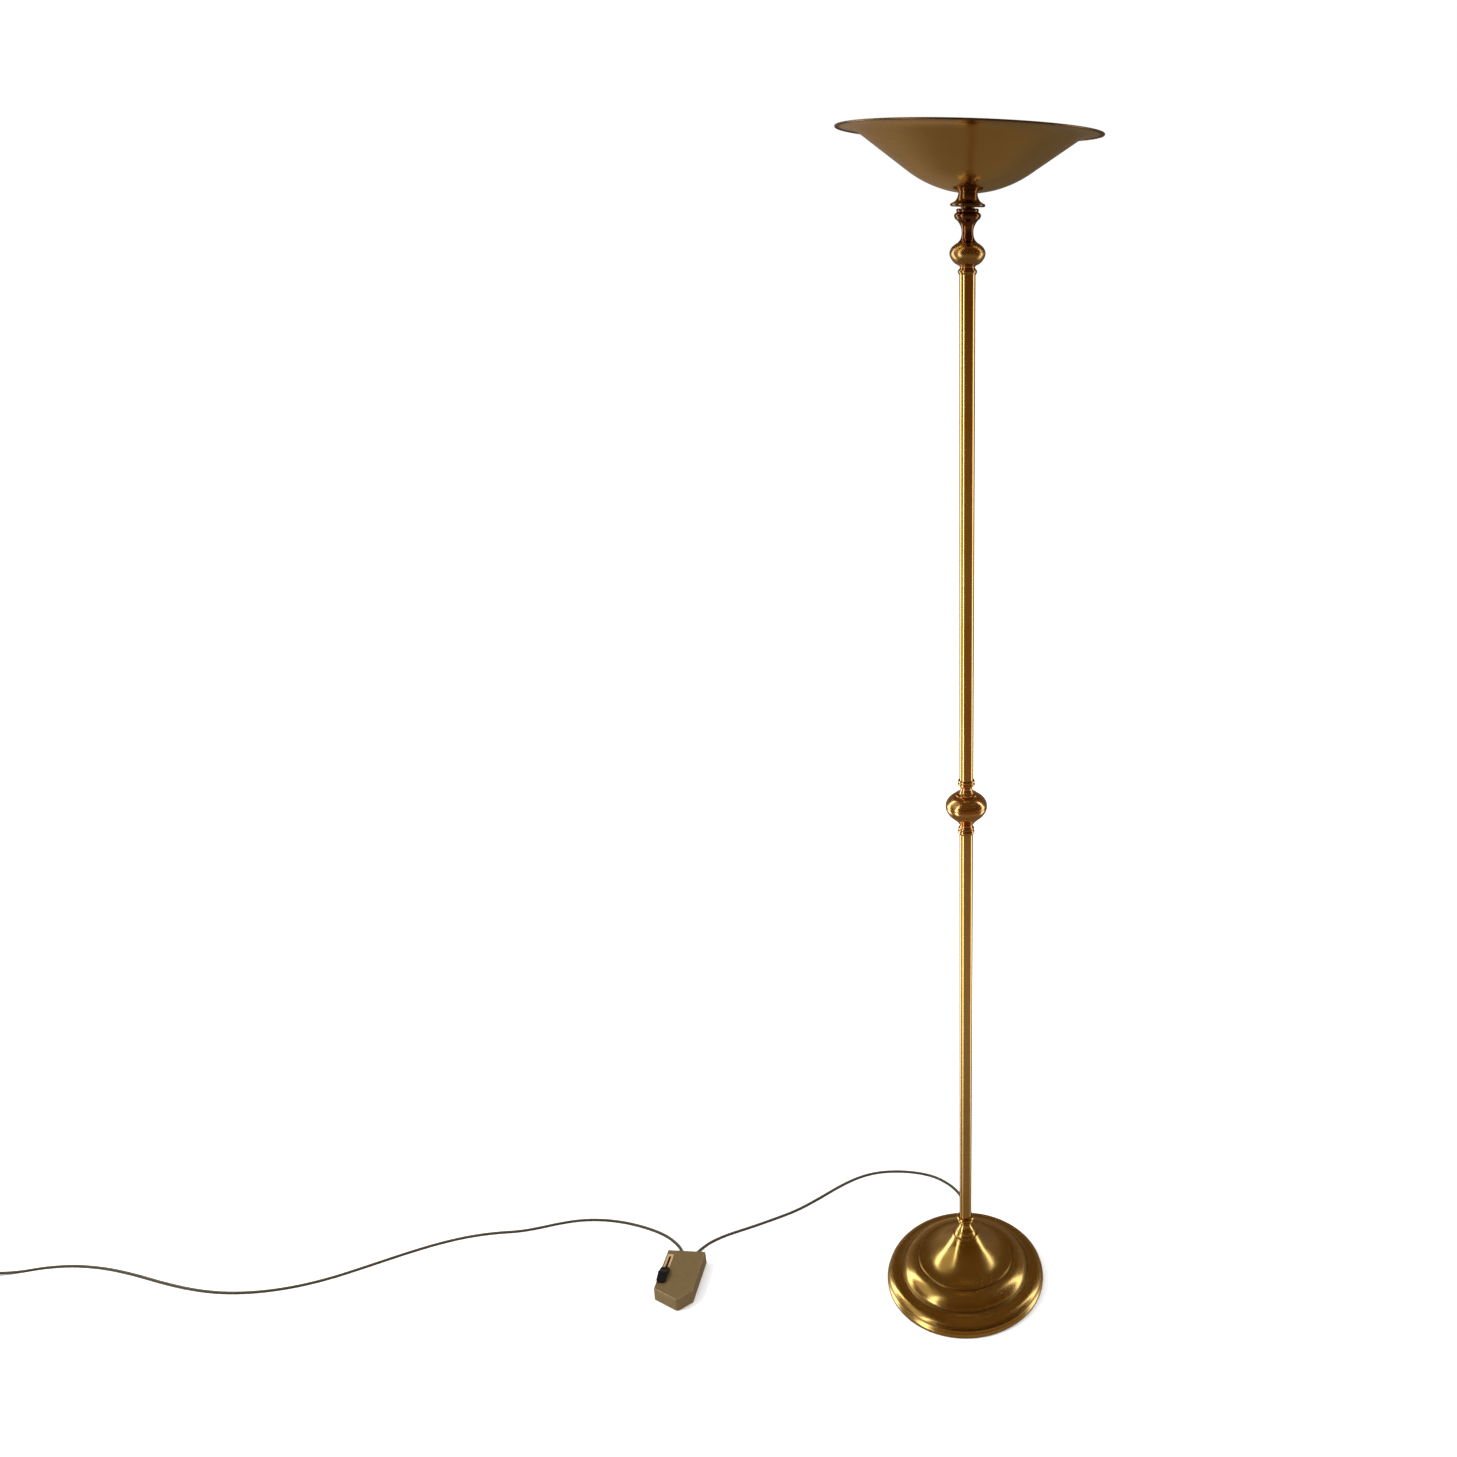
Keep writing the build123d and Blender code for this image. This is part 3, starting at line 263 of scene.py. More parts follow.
SUPPLY_ROUTE = [
    tuple(exit_b), (-0.4951, 0.034, DIMMER_HOLE_Z), (-0.4954, 0.045, 0.0048), (-0.500, 0.0585, FLEX_Z),
    (-0.512, 0.073, FLEX_Z), (-0.531, 0.089, FLEX_Z), (-0.557, 0.103, FLEX_Z), (-0.588, 0.115, FLEX_Z),
    (-0.622, 0.1245, FLEX_Z), (-0.658, 0.1295, FLEX_Z), (-0.695, 0.129, FLEX_Z), (-0.732, 0.121, FLEX_Z),
    (-0.766, 0.1095, FLEX_Z), (-0.799, 0.101, FLEX_Z), (-0.836, 0.098, FLEX_Z), (-0.876, 0.091, FLEX_Z),
    (-0.915, 0.079, FLEX_Z), (-0.955, 0.062, FLEX_Z), (-0.996, 0.041, FLEX_Z), (-1.040, 0.017, FLEX_Z),
    (-1.088, -0.008, FLEX_Z), (-1.140, -0.027, FLEX_Z), (-1.196, -0.038, FLEX_Z), (-1.254, -0.040, FLEX_Z),
    (-1.312, -0.032, FLEX_Z), (-1.370, -0.017, FLEX_Z), (-1.428, 0.001, FLEX_Z), (-1.486, 0.015, FLEX_Z),
    (-1.542, 0.021, FLEX_Z), (-1.590, 0.017, FLEX_Z), (-1.627, 0.007, FLEX_Z), (-1.654, 0.001, 0.0044),
    (-1.669, 0, PLUG_Z), (-1.681, 0, PLUG_Z),
]
lamp_line = spline_points(route_spline("lamp_route", LAMP_ROUTE))
supply_line = spline_points(route_spline("supply_route", SUPPLY_ROUTE))
lamp_flex = new_object("flex_to_lamp", twin_flex(lamp_line))
supply_flex = new_object("flex_to_plug", twin_flex(supply_line))
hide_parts("cord_lamp")
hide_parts("cord_supply")


# ---- the lamp's coiled filament, on its wire supports ----
def coiled_filament():
    """A fine coil with a lead at each end, held by four hoops with a spoke across each."""
    centre = HEAD @ Vector((0, 0, LAMP_Z))
    along = Vector((0, 1, 0))
    coil_radius, coil_half, turns, steps = 0.0006, 0.036, 60, 10
    coil_wire, lead_wire, hoop_wire, spoke_wire = 0.00011, 0.0002, 0.00016, 0.00013
    mesh = bmesh.new()
    helix = []
    for index in range(turns * steps + 1):
        angle = math.tau * index / steps
        place = coil_half * (2 * index / (turns * steps) - 1)
        helix.append(centre + Vector((coil_radius * math.cos(angle), place, coil_radius * math.sin(angle))))
    add_wire(mesh, helix, coil_wire, along)
    for sign in (-1, 1):
        lead = [(coil_radius, coil_half), (0.0002, 0.0375), (0, 0.039), (0, 0.0438)]
        add_wire(mesh, [centre + Vector((x, sign * y, 0)) for x, y in lead], lead_wire, Vector((0, 0, 1)))
    for place in (-0.024, -0.008, 0.008, 0.024):
        hoop = [centre + Vector((BULB_INSIDE * u, place, BULB_INSIDE * v)) for u, v in circle(32)]
        add_wire(mesh, hoop, hoop_wire, along, closed=True)
        spoke = [centre + Vector((share * BULB_INSIDE, place, 0)) for share in (-1, -0.5, 0, 0.5, 1)]
        add_wire(mesh, spoke, spoke_wire, along)
    return finished_mesh(mesh)


filament = new_object("coiled_filament", coiled_filament())
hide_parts("lamp_filament")


# ---- materials ----
class Nodes:
    """A small helper round a node tree and the shader at its end."""

    def __init__(self, tree, shader):
        self.tree = tree
        self.shader = shader

    def add(self, kind, links=None, inputs=None, **settings):
        node = self.tree.nodes.new("ShaderNode" + kind)
        for key, value in settings.items():
            setattr(node, key, value)
        for key, value in (inputs or {}).items():
            node.inputs[key].default_value = value
        for socket, source in (links or {}).items():
            self.tree.links.new(source, node.inputs[socket])
        return node

    def set(self, **values):
        for key, value in values.items():
            self.shader.inputs[key.replace("_", " ")].default_value = value

    def link(self, source, socket):
        self.tree.links.new(source, self.shader.inputs[socket])

    def place(self):
        """The point being shaded, in metres."""
        return self.add("TexCoord").outputs["Object"]

    def noise(self, vector, scale, detail=3.0, rough=0.5):
        inputs = {"Scale": scale, "Detail": detail, "Roughness": rough}
        return self.add("TexNoise", {"Vector": vector}, inputs).outputs[0]

    def ramp(self, factor, stops):
        node = self.add("ValToRGB", {"Fac": factor})
        ramp = node.color_ramp
        while len(ramp.elements) < len(stops):
            ramp.elements.new(0.5)
        for element, (place, color) in zip(ramp.elements, stops):
            element.position = place
            element.color = (*color, 1)
        return node.outputs[0]

    def level(self, value, low, high, start=0.0, end=1.0, smooth=False):
        """The value, taken from the range start to end over to the range low to high."""
        inputs = {"From Min": start, "From Max": end, "To Min": low, "To Max": high}
        kind = "SMOOTHSTEP" if smooth else "LINEAR"
        return self.add("MapRange", {"Value": value}, inputs, interpolation_type=kind).outputs[0]

    def rise(self, value, start, end, low=0.0):
        """Smoothly from low at start to 1 at end."""
        return self.level(value, low, 1.0, start, end, True)

    def fall(self, value, start, end, high=1.0):
        """Smoothly from high at start to 0 at end."""
        return self.level(value, high, 0.0, start, end, True)

    def math(self, operation, first, second=0.0):
        node = self.add("Math", operation=operation)
        for socket, value in zip(node.inputs, (first, second)):
            if isinstance(value, (int, float)):
                socket.default_value = value
            else:
                self.tree.links.new(value, socket)
        return node.outputs[0]

    def chain(self, operation, values):
        """The values joined by the operation, from the first to the last."""
        result = values[0]
        for value in values[1:]:
            result = self.math(operation, result, value)
        return result

    def product(self, *values):
        return self.chain("MULTIPLY", values)

    def total(self, *values):
        return self.chain("ADD", values)

    def apart(self, value, other):
        """How far the value is from the other one."""
        return self.math("ABSOLUTE", self.math("SUBTRACT", value, other))

    def blend(self, factor, under, over, mode="MIX"):
        """Colour under, with colour over laid on it by factor."""
        node = self.add("Mix", data_type="RGBA", blend_type=mode)
        for socket, value in zip((node.inputs[0], node.inputs[6], node.inputs[7]), (factor, under, over)):
            if isinstance(value, tuple):
                socket.default_value = (*value, 1)
            elif isinstance(value, (int, float)):
                socket.default_value = value
            else:
                self.tree.links.new(value, socket)
        return node.outputs[2]

    def bump(self, height, distance, strength=1.0, below=None):
        links = {"Height": height}
        if below:
            links["Normal"] = below
        return self.add("Bump", links, {"Strength": strength, "Distance": distance}).outputs[0]

    def enclosed(self, reach, inside=False):
        """1 on open faces, less in grooves; with inside, less along outer edges."""
        node = self.add("AmbientOcclusion", inputs={"Distance": reach}, samples=4, inside=inside)
        return node.outputs["AO"]

    def lathe(self, axis):
        """Distance from a turning axis, height along it and angle round it.

        The axis is its foot and how far it leans to the right.
        """
        foot, lean = axis
        inputs = {"Location": foot, "Rotation": (0, lean, 0)}
        turned = self.add("Mapping", {"Vector": self.place()}, inputs, vector_type="TEXTURE")
        split = self.add("SeparateXYZ", {"Vector": turned.outputs[0]})
        across, deep, height = split.outputs
        radius = self.math("SQRT", self.total(self.product(across, across), self.product(deep, deep)))
        turn = self.math("ARCTAN2", deep, across)
        return radius, height, turn


def new_material(name):
    """A new material, as the helper round its node tree."""
    material = bpy.data.materials.new(name)
    material.use_nodes = True
    kit = Nodes(material.node_tree, material.node_tree.nodes["Principled BSDF"])
    kit.material = material
    return kit


# Dark brown: tarnish, and painted shade in the hollows and at the bowl's rim
TARNISH_AND_SHADE = (0.13, 0.060, 0.020)
# Pale brass: rubbed edges, and a painted highlight along them
RUBBED_AND_HIGHLIGHT = (0.88, 0.64, 0.30)
SPECK = (0.05, 0.025, 0.01)


def turned_brass(name, rough, gold, red, axis=UPRIGHT, rim=None, shade_creases=()):
    """Lacquered antique brass: turning lines, tarnish and painted shade in the hollows, rubbed edges with a
    painted highlight, a few dark specks.

    With rim, painted shade also covers what is further than that from the axis; each shade crease is a
    radius and half width where a dark line of painted shade runs.
    """
    kit = new_material(name)
    where = kit.place()
    radius, height, _ = kit.lathe(axis)
    ring = kit.add("CombineXYZ", {"X": radius, "Z": height}).outputs[0]
    lines = kit.noise(ring, 1100.0, 2.0, 0.6)
    bands = kit.noise(ring, 160.0, 2.0)
    cloud = kit.noise(where, 9.0, 4.0, 0.6)
    fine = kit.noise(where, 340.0, 3.0, 0.6)
    pale = (gold[0] * 1.06, gold[1] * 1.08, gold[2] * 1.15)
    color = kit.ramp(cloud, [(0.28, red), (0.52, gold), (0.80, pale)])
    color = kit.blend(kit.level(bands, 0.0, 0.22, 0.45, 0.75), color, red)
    # Darker in the hollows: tarnish, with painted shade where the surface is enclosed
    groove_shade = kit.level(kit.enclosed(0.0035), 0.85, 0.0, 0.35, 0.85)
    # Past the rim radius: painted shade on the bowl's edge
    if rim:
        patchy = kit.total(radius, kit.level(fine, -0.0008, 0.0008, 0.3, 0.7))
        groove_shade = kit.math("MAXIMUM", groove_shade, kit.level(patchy, 0.0, 0.85, rim - 0.001, rim + 0.001))
    # Each line: a thin band of painted shade along a step of the profile
    for crease, half_width in shade_creases:
        line = kit.fall(kit.apart(radius, crease), 0.3 * half_width, half_width, high=0.75)
        groove_shade = kit.math("MAXIMUM", groove_shade, kit.product(line, kit.level(bands, 0.7, 1.0, 0.3, 0.6)))
    color = kit.blend(groove_shade, color, TARNISH_AND_SHADE)
    # Outer edges paler: rubbed brass, and a painted highlight along each ring edge
    edge = kit.level(kit.enclosed(0.0009, inside=True), 0.45, 0.0, 0.35, 0.70)
    color = kit.blend(edge, color, RUBBED_AND_HIGHLIGHT)
    cell = kit.add("TexVoronoi", {"Vector": where}, {"Scale": 46.0, "Randomness": 1.0})
    dot = kit.level(cell.outputs["Distance"], 1.0, 0.0, 0.025, 0.05)
    few = kit.level(kit.noise(where, 17.0, 1.0), 0.0, 1.0, 0.66, 0.68)
    speck = kit.product(dot, few)
    kit.link(kit.blend(kit.product(speck, 0.85), color, SPECK), "Base Color")
    polish = kit.level(cloud, *rough, 0.3, 0.7)
    uneven = kit.level(fine, -0.025, 0.025, 0.3, 0.7)
    kit.link(kit.total(polish, uneven, kit.product(groove_shade, 0.2), kit.product(speck, 0.3)), "Roughness")
    kit.set(Metallic=1.0)
    grain = kit.bump(fine, 0.00001, 0.2)
    kit.link(kit.bump(lines, 0.00001, 0.3, grain), "Normal")
    return kit.material


def plated(name, color, dull, rough=(0.22, 0.36), thread=None, pitch=0.001):
    """Plated or plain metal with fine scratches and painted shade in its hollows; thread is the axis its
    screw thread runs round.
    """
    kit = new_material(name)
    where = kit.place()
    cloud = kit.noise(where, 60.0, 4.0, 0.6)
    stretched = kit.add("Mapping", {"Vector": where}, {"Scale": (1, 14, 1)}).outputs[0]
    scratch = kit.noise(stretched, 420.0, 3.0, 0.65)
    # Painted shade: darker in the hollows and recesses
    groove_shade = kit.level(kit.enclosed(0.0015), 0.7, 0.0, 0.35, 0.85)
    shade = kit.ramp(cloud, [(0.3, dull), (0.6, color)])
    kit.link(kit.blend(groove_shade, shade, tuple(0.35 * c for c in dull)), "Base Color")
    kit.link(kit.level(cloud, *rough, 0.35, 0.65), "Roughness")
    kit.set(Metallic=1.0)
    normal = kit.bump(scratch, 0.00001, 0.3)
    if thread:
        _, height, turn = kit.lathe(thread)
        along = kit.total(height, kit.product(turn, pitch / math.tau))
        ridge = kit.math("PINGPONG", along, pitch / 2)
        normal = kit.bump(kit.product(ridge, 2 / pitch), 0.0004, 0.9, normal)
    kit.link(normal, "Normal")
    return kit.material


def moulded(name, color, second, rough=(0.35, 0.5), grain=900.0, depth=0.00003, wear=0.0008, **shader):
    """Plastic, rubber or ceramic: cloudy colour, moulded grain, and edges rubbed paler.

    The grain is a noise scale with its depth, wear is how far the rubbing reaches in from an edge,
    and shader is anything else to be set on the shader.
    """
    kit = new_material(name)
    where = kit.place()
    cloud = kit.noise(where, 45.0, 4.0, 0.6)
    fine = kit.noise(where, grain, 3.0, 0.6)
    edge = kit.level(kit.enclosed(wear, inside=True), 0.45, 0.0, 0.35, 0.75)
    shade = kit.ramp(cloud, [(0.3, color), (0.7, second)])
    rubbed = tuple(min(1.0, 1.5 * c + 0.02) for c in second)
    kit.link(kit.blend(edge, shade, rubbed), "Base Color")
    kit.link(kit.level(kit.total(cloud, fine), *rough, 0.8, 1.2), "Roughness")
    kit.set(**shader)
    kit.link(kit.bump(fine, depth, 0.5), "Normal")
    return kit.material


def bronze_paint():
    """Fine-textured metallic paint, worn to a lighter tone along its edges with a painted highlight there,
    and painted shade in recesses.
    """
    kit = new_material("bronze_paint")
    where = kit.place()
    cloud = kit.noise(where, 38.0, 4.0, 0.6)
    texture = kit.noise(where, 980.0, 2.0, 0.5)
    flake = kit.add("TexVoronoi", {"Vector": where}, {"Scale": 1300.0})
    shade = kit.ramp(cloud, [(0.3, (0.205, 0.138, 0.058)), (0.7, (0.260, 0.176, 0.075))])
    pits = kit.level(texture, 0.40, 0.0, 0.36, 0.52)
    shade = kit.blend(pits, shade, (0.105, 0.066, 0.026))
    glint = kit.level(flake.outputs["Distance"], 0.45, 0.0, 0.0, 0.35)
    shade = kit.blend(glint, shade, (0.54, 0.40, 0.20))
    # Edges: paint worn through, and a painted highlight
    edge = kit.level(kit.enclosed(0.0012, inside=True), 1.0, 0.0, 0.45, 0.88)
    shade = kit.blend(edge, shade, (0.92, 0.76, 0.50))
    # Painted shade in the recesses
    corner_shade = kit.level(kit.enclosed(0.003), 0.6, 0.0, 0.35, 0.85)
    kit.link(kit.blend(corner_shade, shade, (0.06, 0.04, 0.018)), "Base Color")
    kit.link(kit.level(texture, 0.30, 0.46, 0.35, 0.65), "Roughness")
    kit.link(kit.level(cloud, 0.45, 0.60, 0.3, 0.7), "Metallic")
    kit.link(kit.bump(texture, 0.00006, 0.6), "Normal")
    return kit.material


def felt():
    """Dark wool felt, matted in patches."""
    kit = new_material("felt")
    where = kit.place()
    fibre = kit.add("Mapping", {"Vector": where}, {"Scale": (1, 3.5, 1), "Rotation": (0.3, 0.2, 0.7)})
    hair = kit.noise(fibre.outputs[0], 700.0, 4.0, 0.7)
    matted = kit.noise(where, 90.0, 4.0, 0.6)
    shade = kit.ramp(hair, [(0.3, (0.012, 0.012, 0.013)), (0.7, (0.06, 0.058, 0.055))])
    kit.link(kit.blend(kit.level(matted, 0.0, 0.5, 0.4, 0.7), shade, (0.03, 0.027, 0.025)), "Base Color")
    kit.link(kit.level(hair, 0.85, 1.0, 0.3, 0.7), "Roughness")
    kit.set(Sheen_Weight=0.4, Sheen_Roughness=0.5)
    kit.link(kit.bump(hair, 0.0003, 0.8), "Normal")
    return kit.material


def glass(name, haze, soot):
    """Clear glass, hazier and a little sooty in patches."""
    kit = new_material(name)
    where = kit.place()
    cloud = kit.noise(where, 70.0, 3.0, 0.6)
    kit.link(kit.ramp(cloud, [(0.3, soot), (0.6, (0.97, 0.97, 0.98))]), "Base Color")
    kit.link(kit.level(cloud, haze, 0.02, 0.3, 0.6), "Roughness")
    kit.set(Transmission_Weight=1.0, IOR=1.46)
    kit.link(kit.bump(cloud, 0.00004, 0.2), "Normal")
    return kit.material


def circuit_board():
    """Green solder mask over copper tracks."""
    kit = new_material("circuit_board")
    flat = kit.add("Mapping", {"Vector": kit.place()}, {"Rotation": (0, 0, -DIMMER_YAW)}).outputs[0]
    layout = {"Scale": 210.0, "Mortar Size": 0.16, "Bias": 0.0}
    tracks = kit.add("TexBrick", {"Vector": flat}, layout, offset=0.37).outputs["Fac"]
    cloud = kit.noise(flat, 130.0, 3.0)
    copper = kit.ramp(cloud, [(0.3, (0.030, 0.115, 0.045)), (0.7, (0.040, 0.150, 0.060))])
    mask = kit.ramp(cloud, [(0.3, (0.010, 0.060, 0.022)), (0.7, (0.014, 0.078, 0.030))])
    kit.link(kit.blend(tracks, mask, copper), "Base Color")
    kit.link(kit.level(cloud, 0.28, 0.42, 0.3, 0.7), "Roughness")
    kit.link(kit.bump(tracks, 0.00006, 0.6), "Normal")
    return kit.material


def flex_plastic(name, light, dark):
    """Translucent gold-brown flex: strand marks show faintly through the skin."""
    kit = new_material(name)
    where = kit.place()
    cloud = kit.noise(where, 55.0, 4.0, 0.6)
    fine = kit.noise(where, 1400.0, 2.0, 0.5)
    kit.link(kit.ramp(cloud, [(0.3, dark), (0.7, light)]), "Base Color")
    kit.link(kit.level(kit.total(cloud, fine), 0.26, 0.42, 0.8, 1.2), "Roughness")
    kit.link(kit.level(cloud, 0.25, 0.40, 0.3, 0.7), "Metallic")
    kit.set(Coat_Weight=0.25, Coat_Roughness=0.2)
    kit.link(kit.bump(fine, 0.00002, 0.4), "Normal")
    return kit.material


def dress(node, material):
    """Give the node this material and no other."""
    slots = NODES[node].data.materials
    slots.clear()
    slots.append(material)


ZINC = ((0.62, 0.61, 0.58), (0.42, 0.41, 0.39))
IRON = ((0.018, 0.018, 0.019), (0.035, 0.032, 0.030))
COPPER = ((0.62, 0.26, 0.10), (0.40, 0.15, 0.06))
KNOB_BLACK = ((0.004, 0.004, 0.005), (0.007, 0.007, 0.009))
SLOT_MATERIALS = {
    "zinc_steel": plated("zinc_plate", *ZINC),
    "felt": felt(),
    "cast_iron": moulded("cast_iron", *IRON, (0.55, 0.75), 260.0, 0.0004),
    "component_plastic": moulded("component_plastic", (0.008, 0.010, 0.022), (0.014, 0.018, 0.035)),
    "copper_winding": plated("copper_winding", *COPPER, thread=UPRIGHT),
    "gold_flex": flex_plastic("gold_flex", (0.30, 0.21, 0.10), (0.22, 0.15, 0.065)),
    "nickel": plated("nickel_plate", (0.68, 0.64, 0.57), (0.50, 0.46, 0.40), (0.14, 0.26)),
    "black_plastic": moulded("black_plastic", (0.004, 0.004, 0.005), (0.008, 0.008, 0.010), (0.22, 0.34)),
    "gold_plastic": moulded("gold_plastic", (0.22, 0.15, 0.065), (0.29, 0.205, 0.095), (0.30, 0.42)),
    "bronze_paint": bronze_paint(),
    "circuit_board": circuit_board(),
    "rubber": moulded("rubber", (0.014, 0.014, 0.014), (0.028, 0.027, 0.026), (0.70, 0.88), 600.0, 0.00008),
    "fuse_glass": glass("fuse_glass", 0.12, (0.80, 0.83, 0.82)),
    "aluminium": plated("aluminium", (0.66, 0.66, 0.68), (0.48, 0.48, 0.50), (0.32, 0.46)),
    "silicone": moulded("silicone", (0.60, 0.57, 0.50), (0.72, 0.69, 0.62), (0.48, 0.62)),
    "steatite": moulded("steatite", (0.46, 0.42, 0.35), (0.58, 0.54, 0.47), (0.42, 0.62), 500.0, 0.00008),
    "quartz": glass("quartz", 0.10, (0.82, 0.80, 0.78)),
    "tungsten": plated("tungsten", (0.30, 0.30, 0.32), (0.16, 0.16, 0.17), (0.35, 0.5)),
}
for part in frame["record"]["subparts"]:
    if part["material_slot"] != "brass":
        dress(part["node"], SLOT_MATERIALS[part["material_slot"]])

for node in ("base_nipple", "knuckle_nipple", "finial_nipple"):
    dress(node, plated(node + "_thread", *ZINC, thread=UPRIGHT))
dress("head_nipple", plated("head_nipple_thread", *ZINC, thread=HEAD_AXIS))
dress("dimmer_bezel", moulded("bezel", (0.29, 0.185, 0.085), (0.38, 0.25, 0.12), (0.28, 0.40), wear=0.0003))
dress("slider_knob", moulded("knob", *KNOB_BLACK, (0.26, 0.38), Specular_IOR_Level=0.35))

# The brass: range of roughness, its gold and its redder tone, what else it takes, and where it goes
AMBER = (0.70, 0.42, 0.10)
# Darker copies of the brass for the finial, its waist, the column cap and the cup: painted shade for the
# dark room they reflect
BROWN = (0.46, 0.25, 0.08)
UMBER = (0.34, 0.16, 0.055)
SHADED_GOLD = (0.20, 0.080, 0.027)
SHADED_RED = (0.13, 0.050, 0.018)
# Radius and half width of each line of painted shade on the base's steps
BASE_SHADE_CREASES = ((0.0796, 0.0016), (0.1060, 0.0032), (0.1305, 0.0012))
KNUCKLE = ("knuckle_collar", "knuckle_ball_lower", "knuckle_ball_upper", "knuckle_neck")
BRASS = {
    "base": ((0.20, 0.27), (0.76, 0.50, 0.15), AMBER, {"shade_creases": BASE_SHADE_CREASES},
             ("base_shell", "base_collar")),
    "tube": ((0.12, 0.17), (0.78, 0.49, 0.17), AMBER, {}, ("lower_tube", "upper_tube")),
    "knuckle": ((0.16, 0.22), (0.84, 0.47, 0.17), (0.68, 0.34, 0.11), {}, KNUCKLE),
    "finial": ((0.22, 0.28), (0.56, 0.33, 0.11), BROWN, {}, ("finial_bulb",)),
    "waist": ((0.12, 0.17), SHADED_GOLD, SHADED_RED, {}, ("finial_waist",)),
    "cap": ((0.13, 0.18), BROWN, UMBER, {}, ("column_cap",)),
    "cup": ((0.13, 0.18), (0.24, 0.125, 0.048), SHADED_RED, {"axis": HEAD_AXIS}, ("bell_cup",)),
    "bowl": ((0.15, 0.20), (0.72, 0.50, 0.19), (0.66, 0.44, 0.16), {"axis": HEAD_AXIS, "rim": 0.153},
             ("bowl",)),
}
for name, (rough, gold, red, more, nodes) in BRASS.items():
    brass = turned_brass("brass_" + name, rough, gold, red, **more)
    for node in nodes:
        dress(node, brass)

# The pieces made here take their materials
filament.data.materials.append(SLOT_MATERIALS["tungsten"])
for sleeve in (gland, relief):
    sleeve.data.materials.append(SLOT_MATERIALS["gold_plastic"])
# The paler core is painted sheen; both cores are really the darker colour
painted_sheen_core = flex_plastic("flex_painted_sheen_core", (0.150, 0.125, 0.078), (0.110, 0.088, 0.052))
dark_core = flex_plastic("flex_dark_core", (0.055, 0.045, 0.027), (0.038, 0.031, 0.018))
for flex in (lamp_flex, supply_flex):
    flex.data.materials.append(painted_sheen_core)
    flex.data.materials.append(dark_core)


# ---- floor and light ----
def plain_floor():
    """A wide matt white floor that reflections do not show."""
    mesh = bmesh.new()
    bmesh.ops.create_grid(mesh, x_segments=2, y_segments=2, size=40)
    data = bpy.data.meshes.new("floor")
    mesh.to_mesh(data)
    mesh.free()
    floor = new_object("floor", data, body=None)
    floor.visible_glossy = False
    kit = new_material("floor")
    kit.set(Base_Color=(0.93, 0.93, 0.93, 1), Roughness=1.0, Specular_IOR_Level=0.0)
    data.materials.append(kit.material)


# All headings are in degrees from the front, positive towards the left.
# Three tall windows seen in reflections: heading, half width in degrees, strength
WINDOWS = ((110, 3.6, 5.5), (55, 2.6, 5.5), (-103, 3.6, 3.6))
WINDOW_COLOR = (1.0, 1.06, 1.15)
# A dim warm room seen in reflections, from straight down to straight up
ROOM = (
    (0.00, (0.17, 0.115, 0.062)),
    (0.18, (0.21, 0.165, 0.118)),
    (0.22, (0.28, 0.240, 0.190)),
    (0.26, (0.24, 0.185, 0.125)),
    (0.31, (0.17, 0.090, 0.032)),
    (0.38, (0.20, 0.130, 0.050)),
    (0.46, (0.14, 0.072, 0.022)),
    (0.50, (0.09, 0.040, 0.010)),
    (0.70, (0.085, 0.044, 0.013)),
    (0.90, (0.115, 0.070, 0.030)),
    (1.00, (0.100, 0.058, 0.026)),
)
# Pale haze to both sides, and a paler wall to the left
SIDE_GLOW = (0.30, 0.27, 0.24)
LEFT_WALL = (0.56, 0.50, 0.37)
LEFT_WALL_HEADING = 82
# What lies low behind the lamp, to its left and to its right
BACK_LEFT = (0.27, 0.200, 0.145)
BACK_RIGHT = (0.125, 0.098, 0.070)


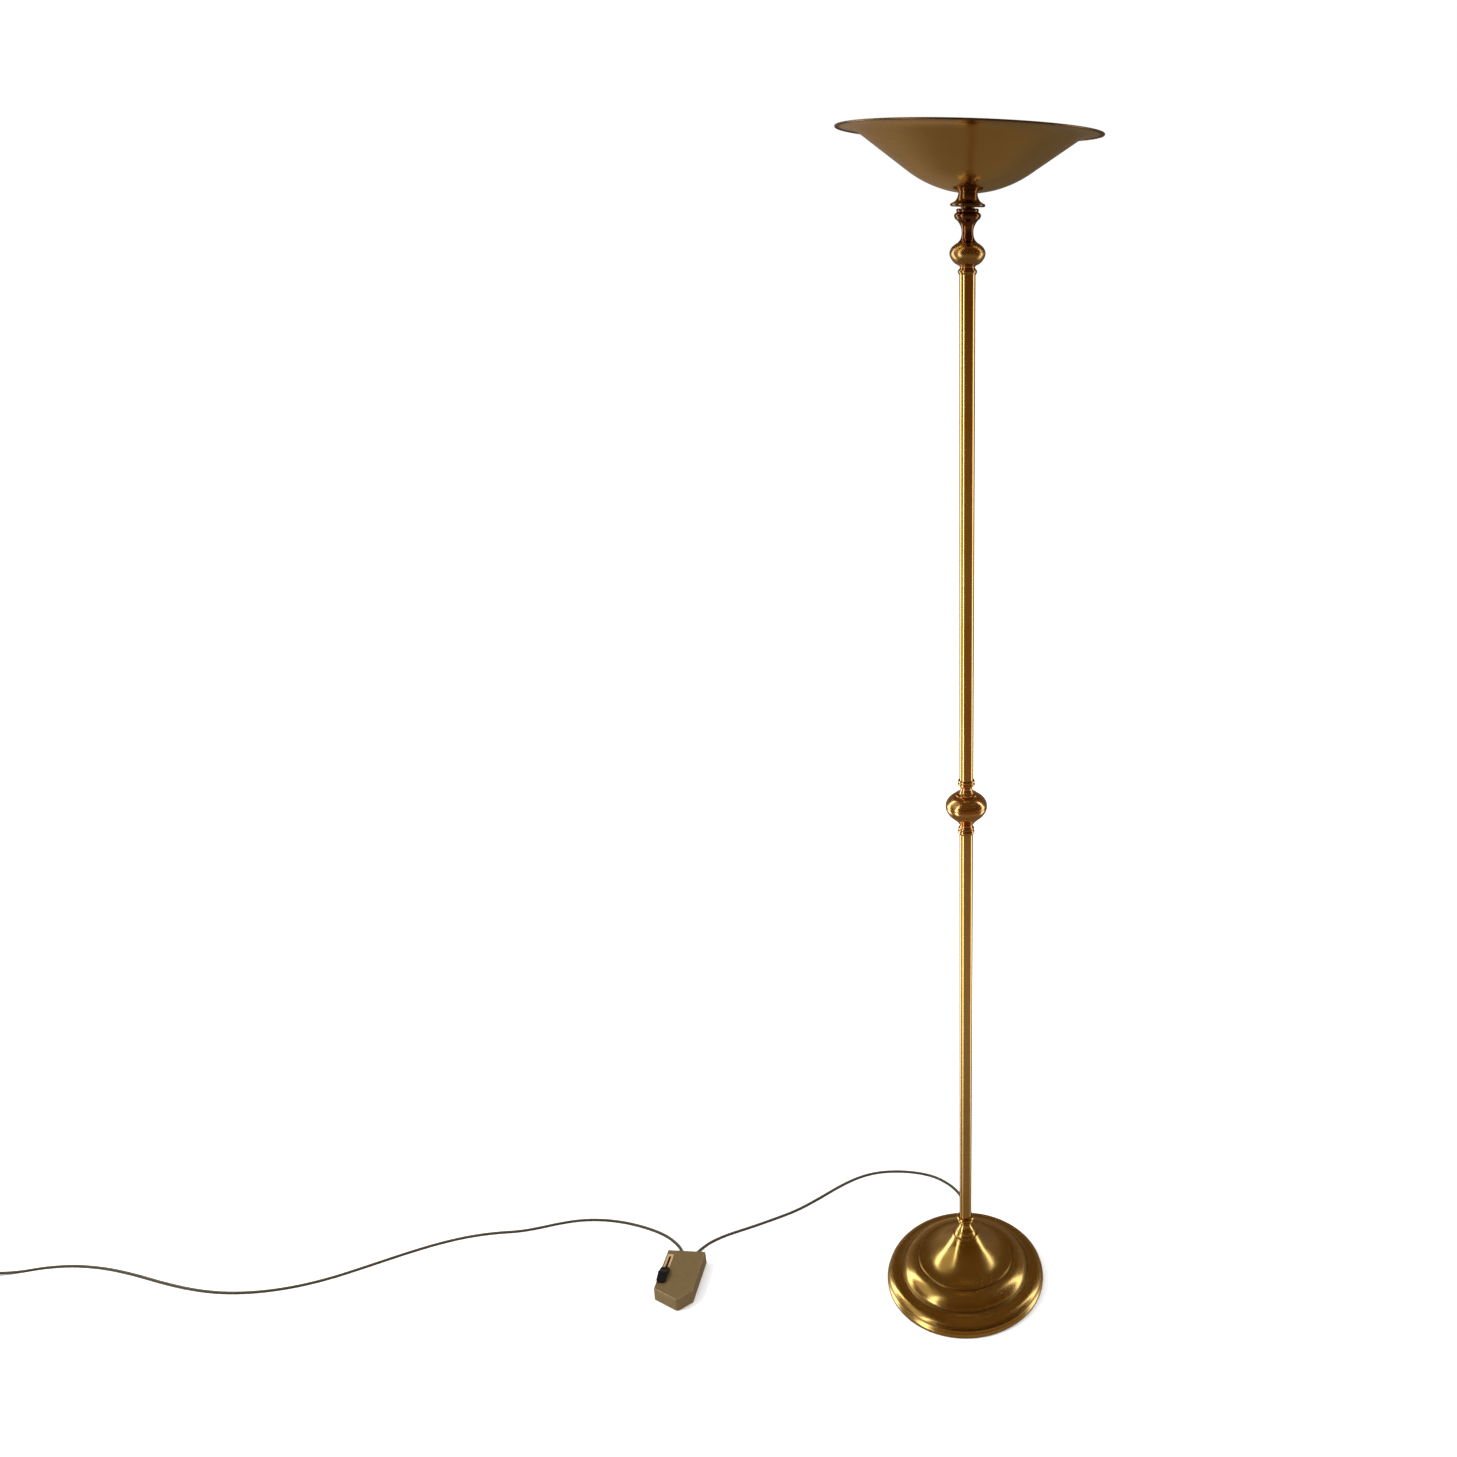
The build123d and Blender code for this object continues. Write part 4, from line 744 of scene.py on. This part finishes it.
def studio():
    """Soft white all round for the camera and matt surfaces, and the dim room for reflections."""
    world = bpy.data.worlds.new("studio")
    scene.world = world
    world.use_nodes = True
    world.cycles.sampling_method = "NONE"
    kit = Nodes(world.node_tree, world.node_tree.nodes["Background"])
    split = kit.add("SeparateXYZ", {"Vector": kit.add("TexCoord").outputs["Generated"]})
    right, back, up = split.outputs
    heading = kit.math("ARCTAN2", kit.product(right, -1.0), kit.product(back, -1.0))
    room = kit.ramp(kit.level(up, 0.0, 1.0, -1.0, 1.0), ROOM)

    sideways = kit.rise(kit.math("ABSOLUTE", heading), math.radians(75), math.radians(120))
    level_ground = kit.fall(kit.math("ABSOLUTE", up), 0.0, 0.75)
    brighter_left = kit.level(heading, 0.35, 0.5, math.radians(-90), math.radians(90))
    room = kit.blend(kit.product(sideways, level_ground, brighter_left), room, SIDE_GLOW)

    from_wall = kit.apart(heading, math.radians(LEFT_WALL_HEADING))
    wall_width = kit.fall(from_wall, math.radians(6), math.radians(36))
    wall = kit.product(wall_width, kit.rise(up, 0.08, 0.36), kit.fall(up, 0.72, 0.94))
    room = kit.blend(kit.product(wall, 0.8), room, LEFT_WALL)

    low = kit.product(kit.rise(up, -0.92, -0.60), kit.fall(up, -0.15, 0.05))
    for side, color in ((1.0, BACK_LEFT), (-1.0, BACK_RIGHT)):
        behind = kit.rise(kit.product(heading, side), math.radians(112), math.radians(150))
        room = kit.blend(kit.product(behind, low, 0.85), room, color)

    # Below eye level each window spreads wider and dimmer
    narrow = kit.rise(up, -0.08, 0.25, low=0.36)
    dimmed = kit.rise(up, -0.08, 0.25, low=0.58)
    tall = kit.product(kit.rise(up, -0.72, -0.52), kit.fall(up, 0.55, 0.85), dimmed)
    for direction, half_width, strength in WINDOWS:
        away = kit.apart(heading, math.radians(direction))
        edge = math.radians(half_width)
        lit = kit.fall(kit.product(away, narrow), 0.5 * edge, 1.5 * edge)
        glow = kit.add("VectorMath", inputs={0: [strength * c for c in WINDOW_COLOR]}, operation="SCALE")
        kit.tree.links.new(kit.product(lit, tall), glow.inputs["Scale"])
        room = kit.blend(1.0, room, glow.outputs[0], "ADD")

    soft = kit.level(up, 0.62, 1.45, -0.1, 0.9)
    rays = kit.add("LightPath")
    shown = kit.blend(rays.outputs["Is Glossy Ray"], soft, room)
    shown = kit.blend(rays.outputs["Is Camera Ray"], shown, (1.0, 1.0, 1.0))
    kit.link(shown, "Color")
    kit.set(Strength=1.0)


def area_light(name, place, target, size, power):
    """A soft rectangular light aimed at target; reflections do not show it."""
    data = bpy.data.lights.new(name, "AREA")
    data.shape = "RECTANGLE"
    data.size, data.size_y = size
    data.energy = power
    light = bpy.data.objects.new(name, data)
    light.location = place
    light.rotation_euler = (Vector(target) - Vector(place)).to_track_quat("-Z", "Y").to_euler()
    light.visible_glossy = False
    scene.collection.objects.link(light)


plain_floor()
studio()
area_light("key", place=(-2.8, -0.4, 3.0), target=(-0.3, 0, 0.0), size=(0.9, 0.9), power=95)
scene.view_settings.view_transform = "Standard"
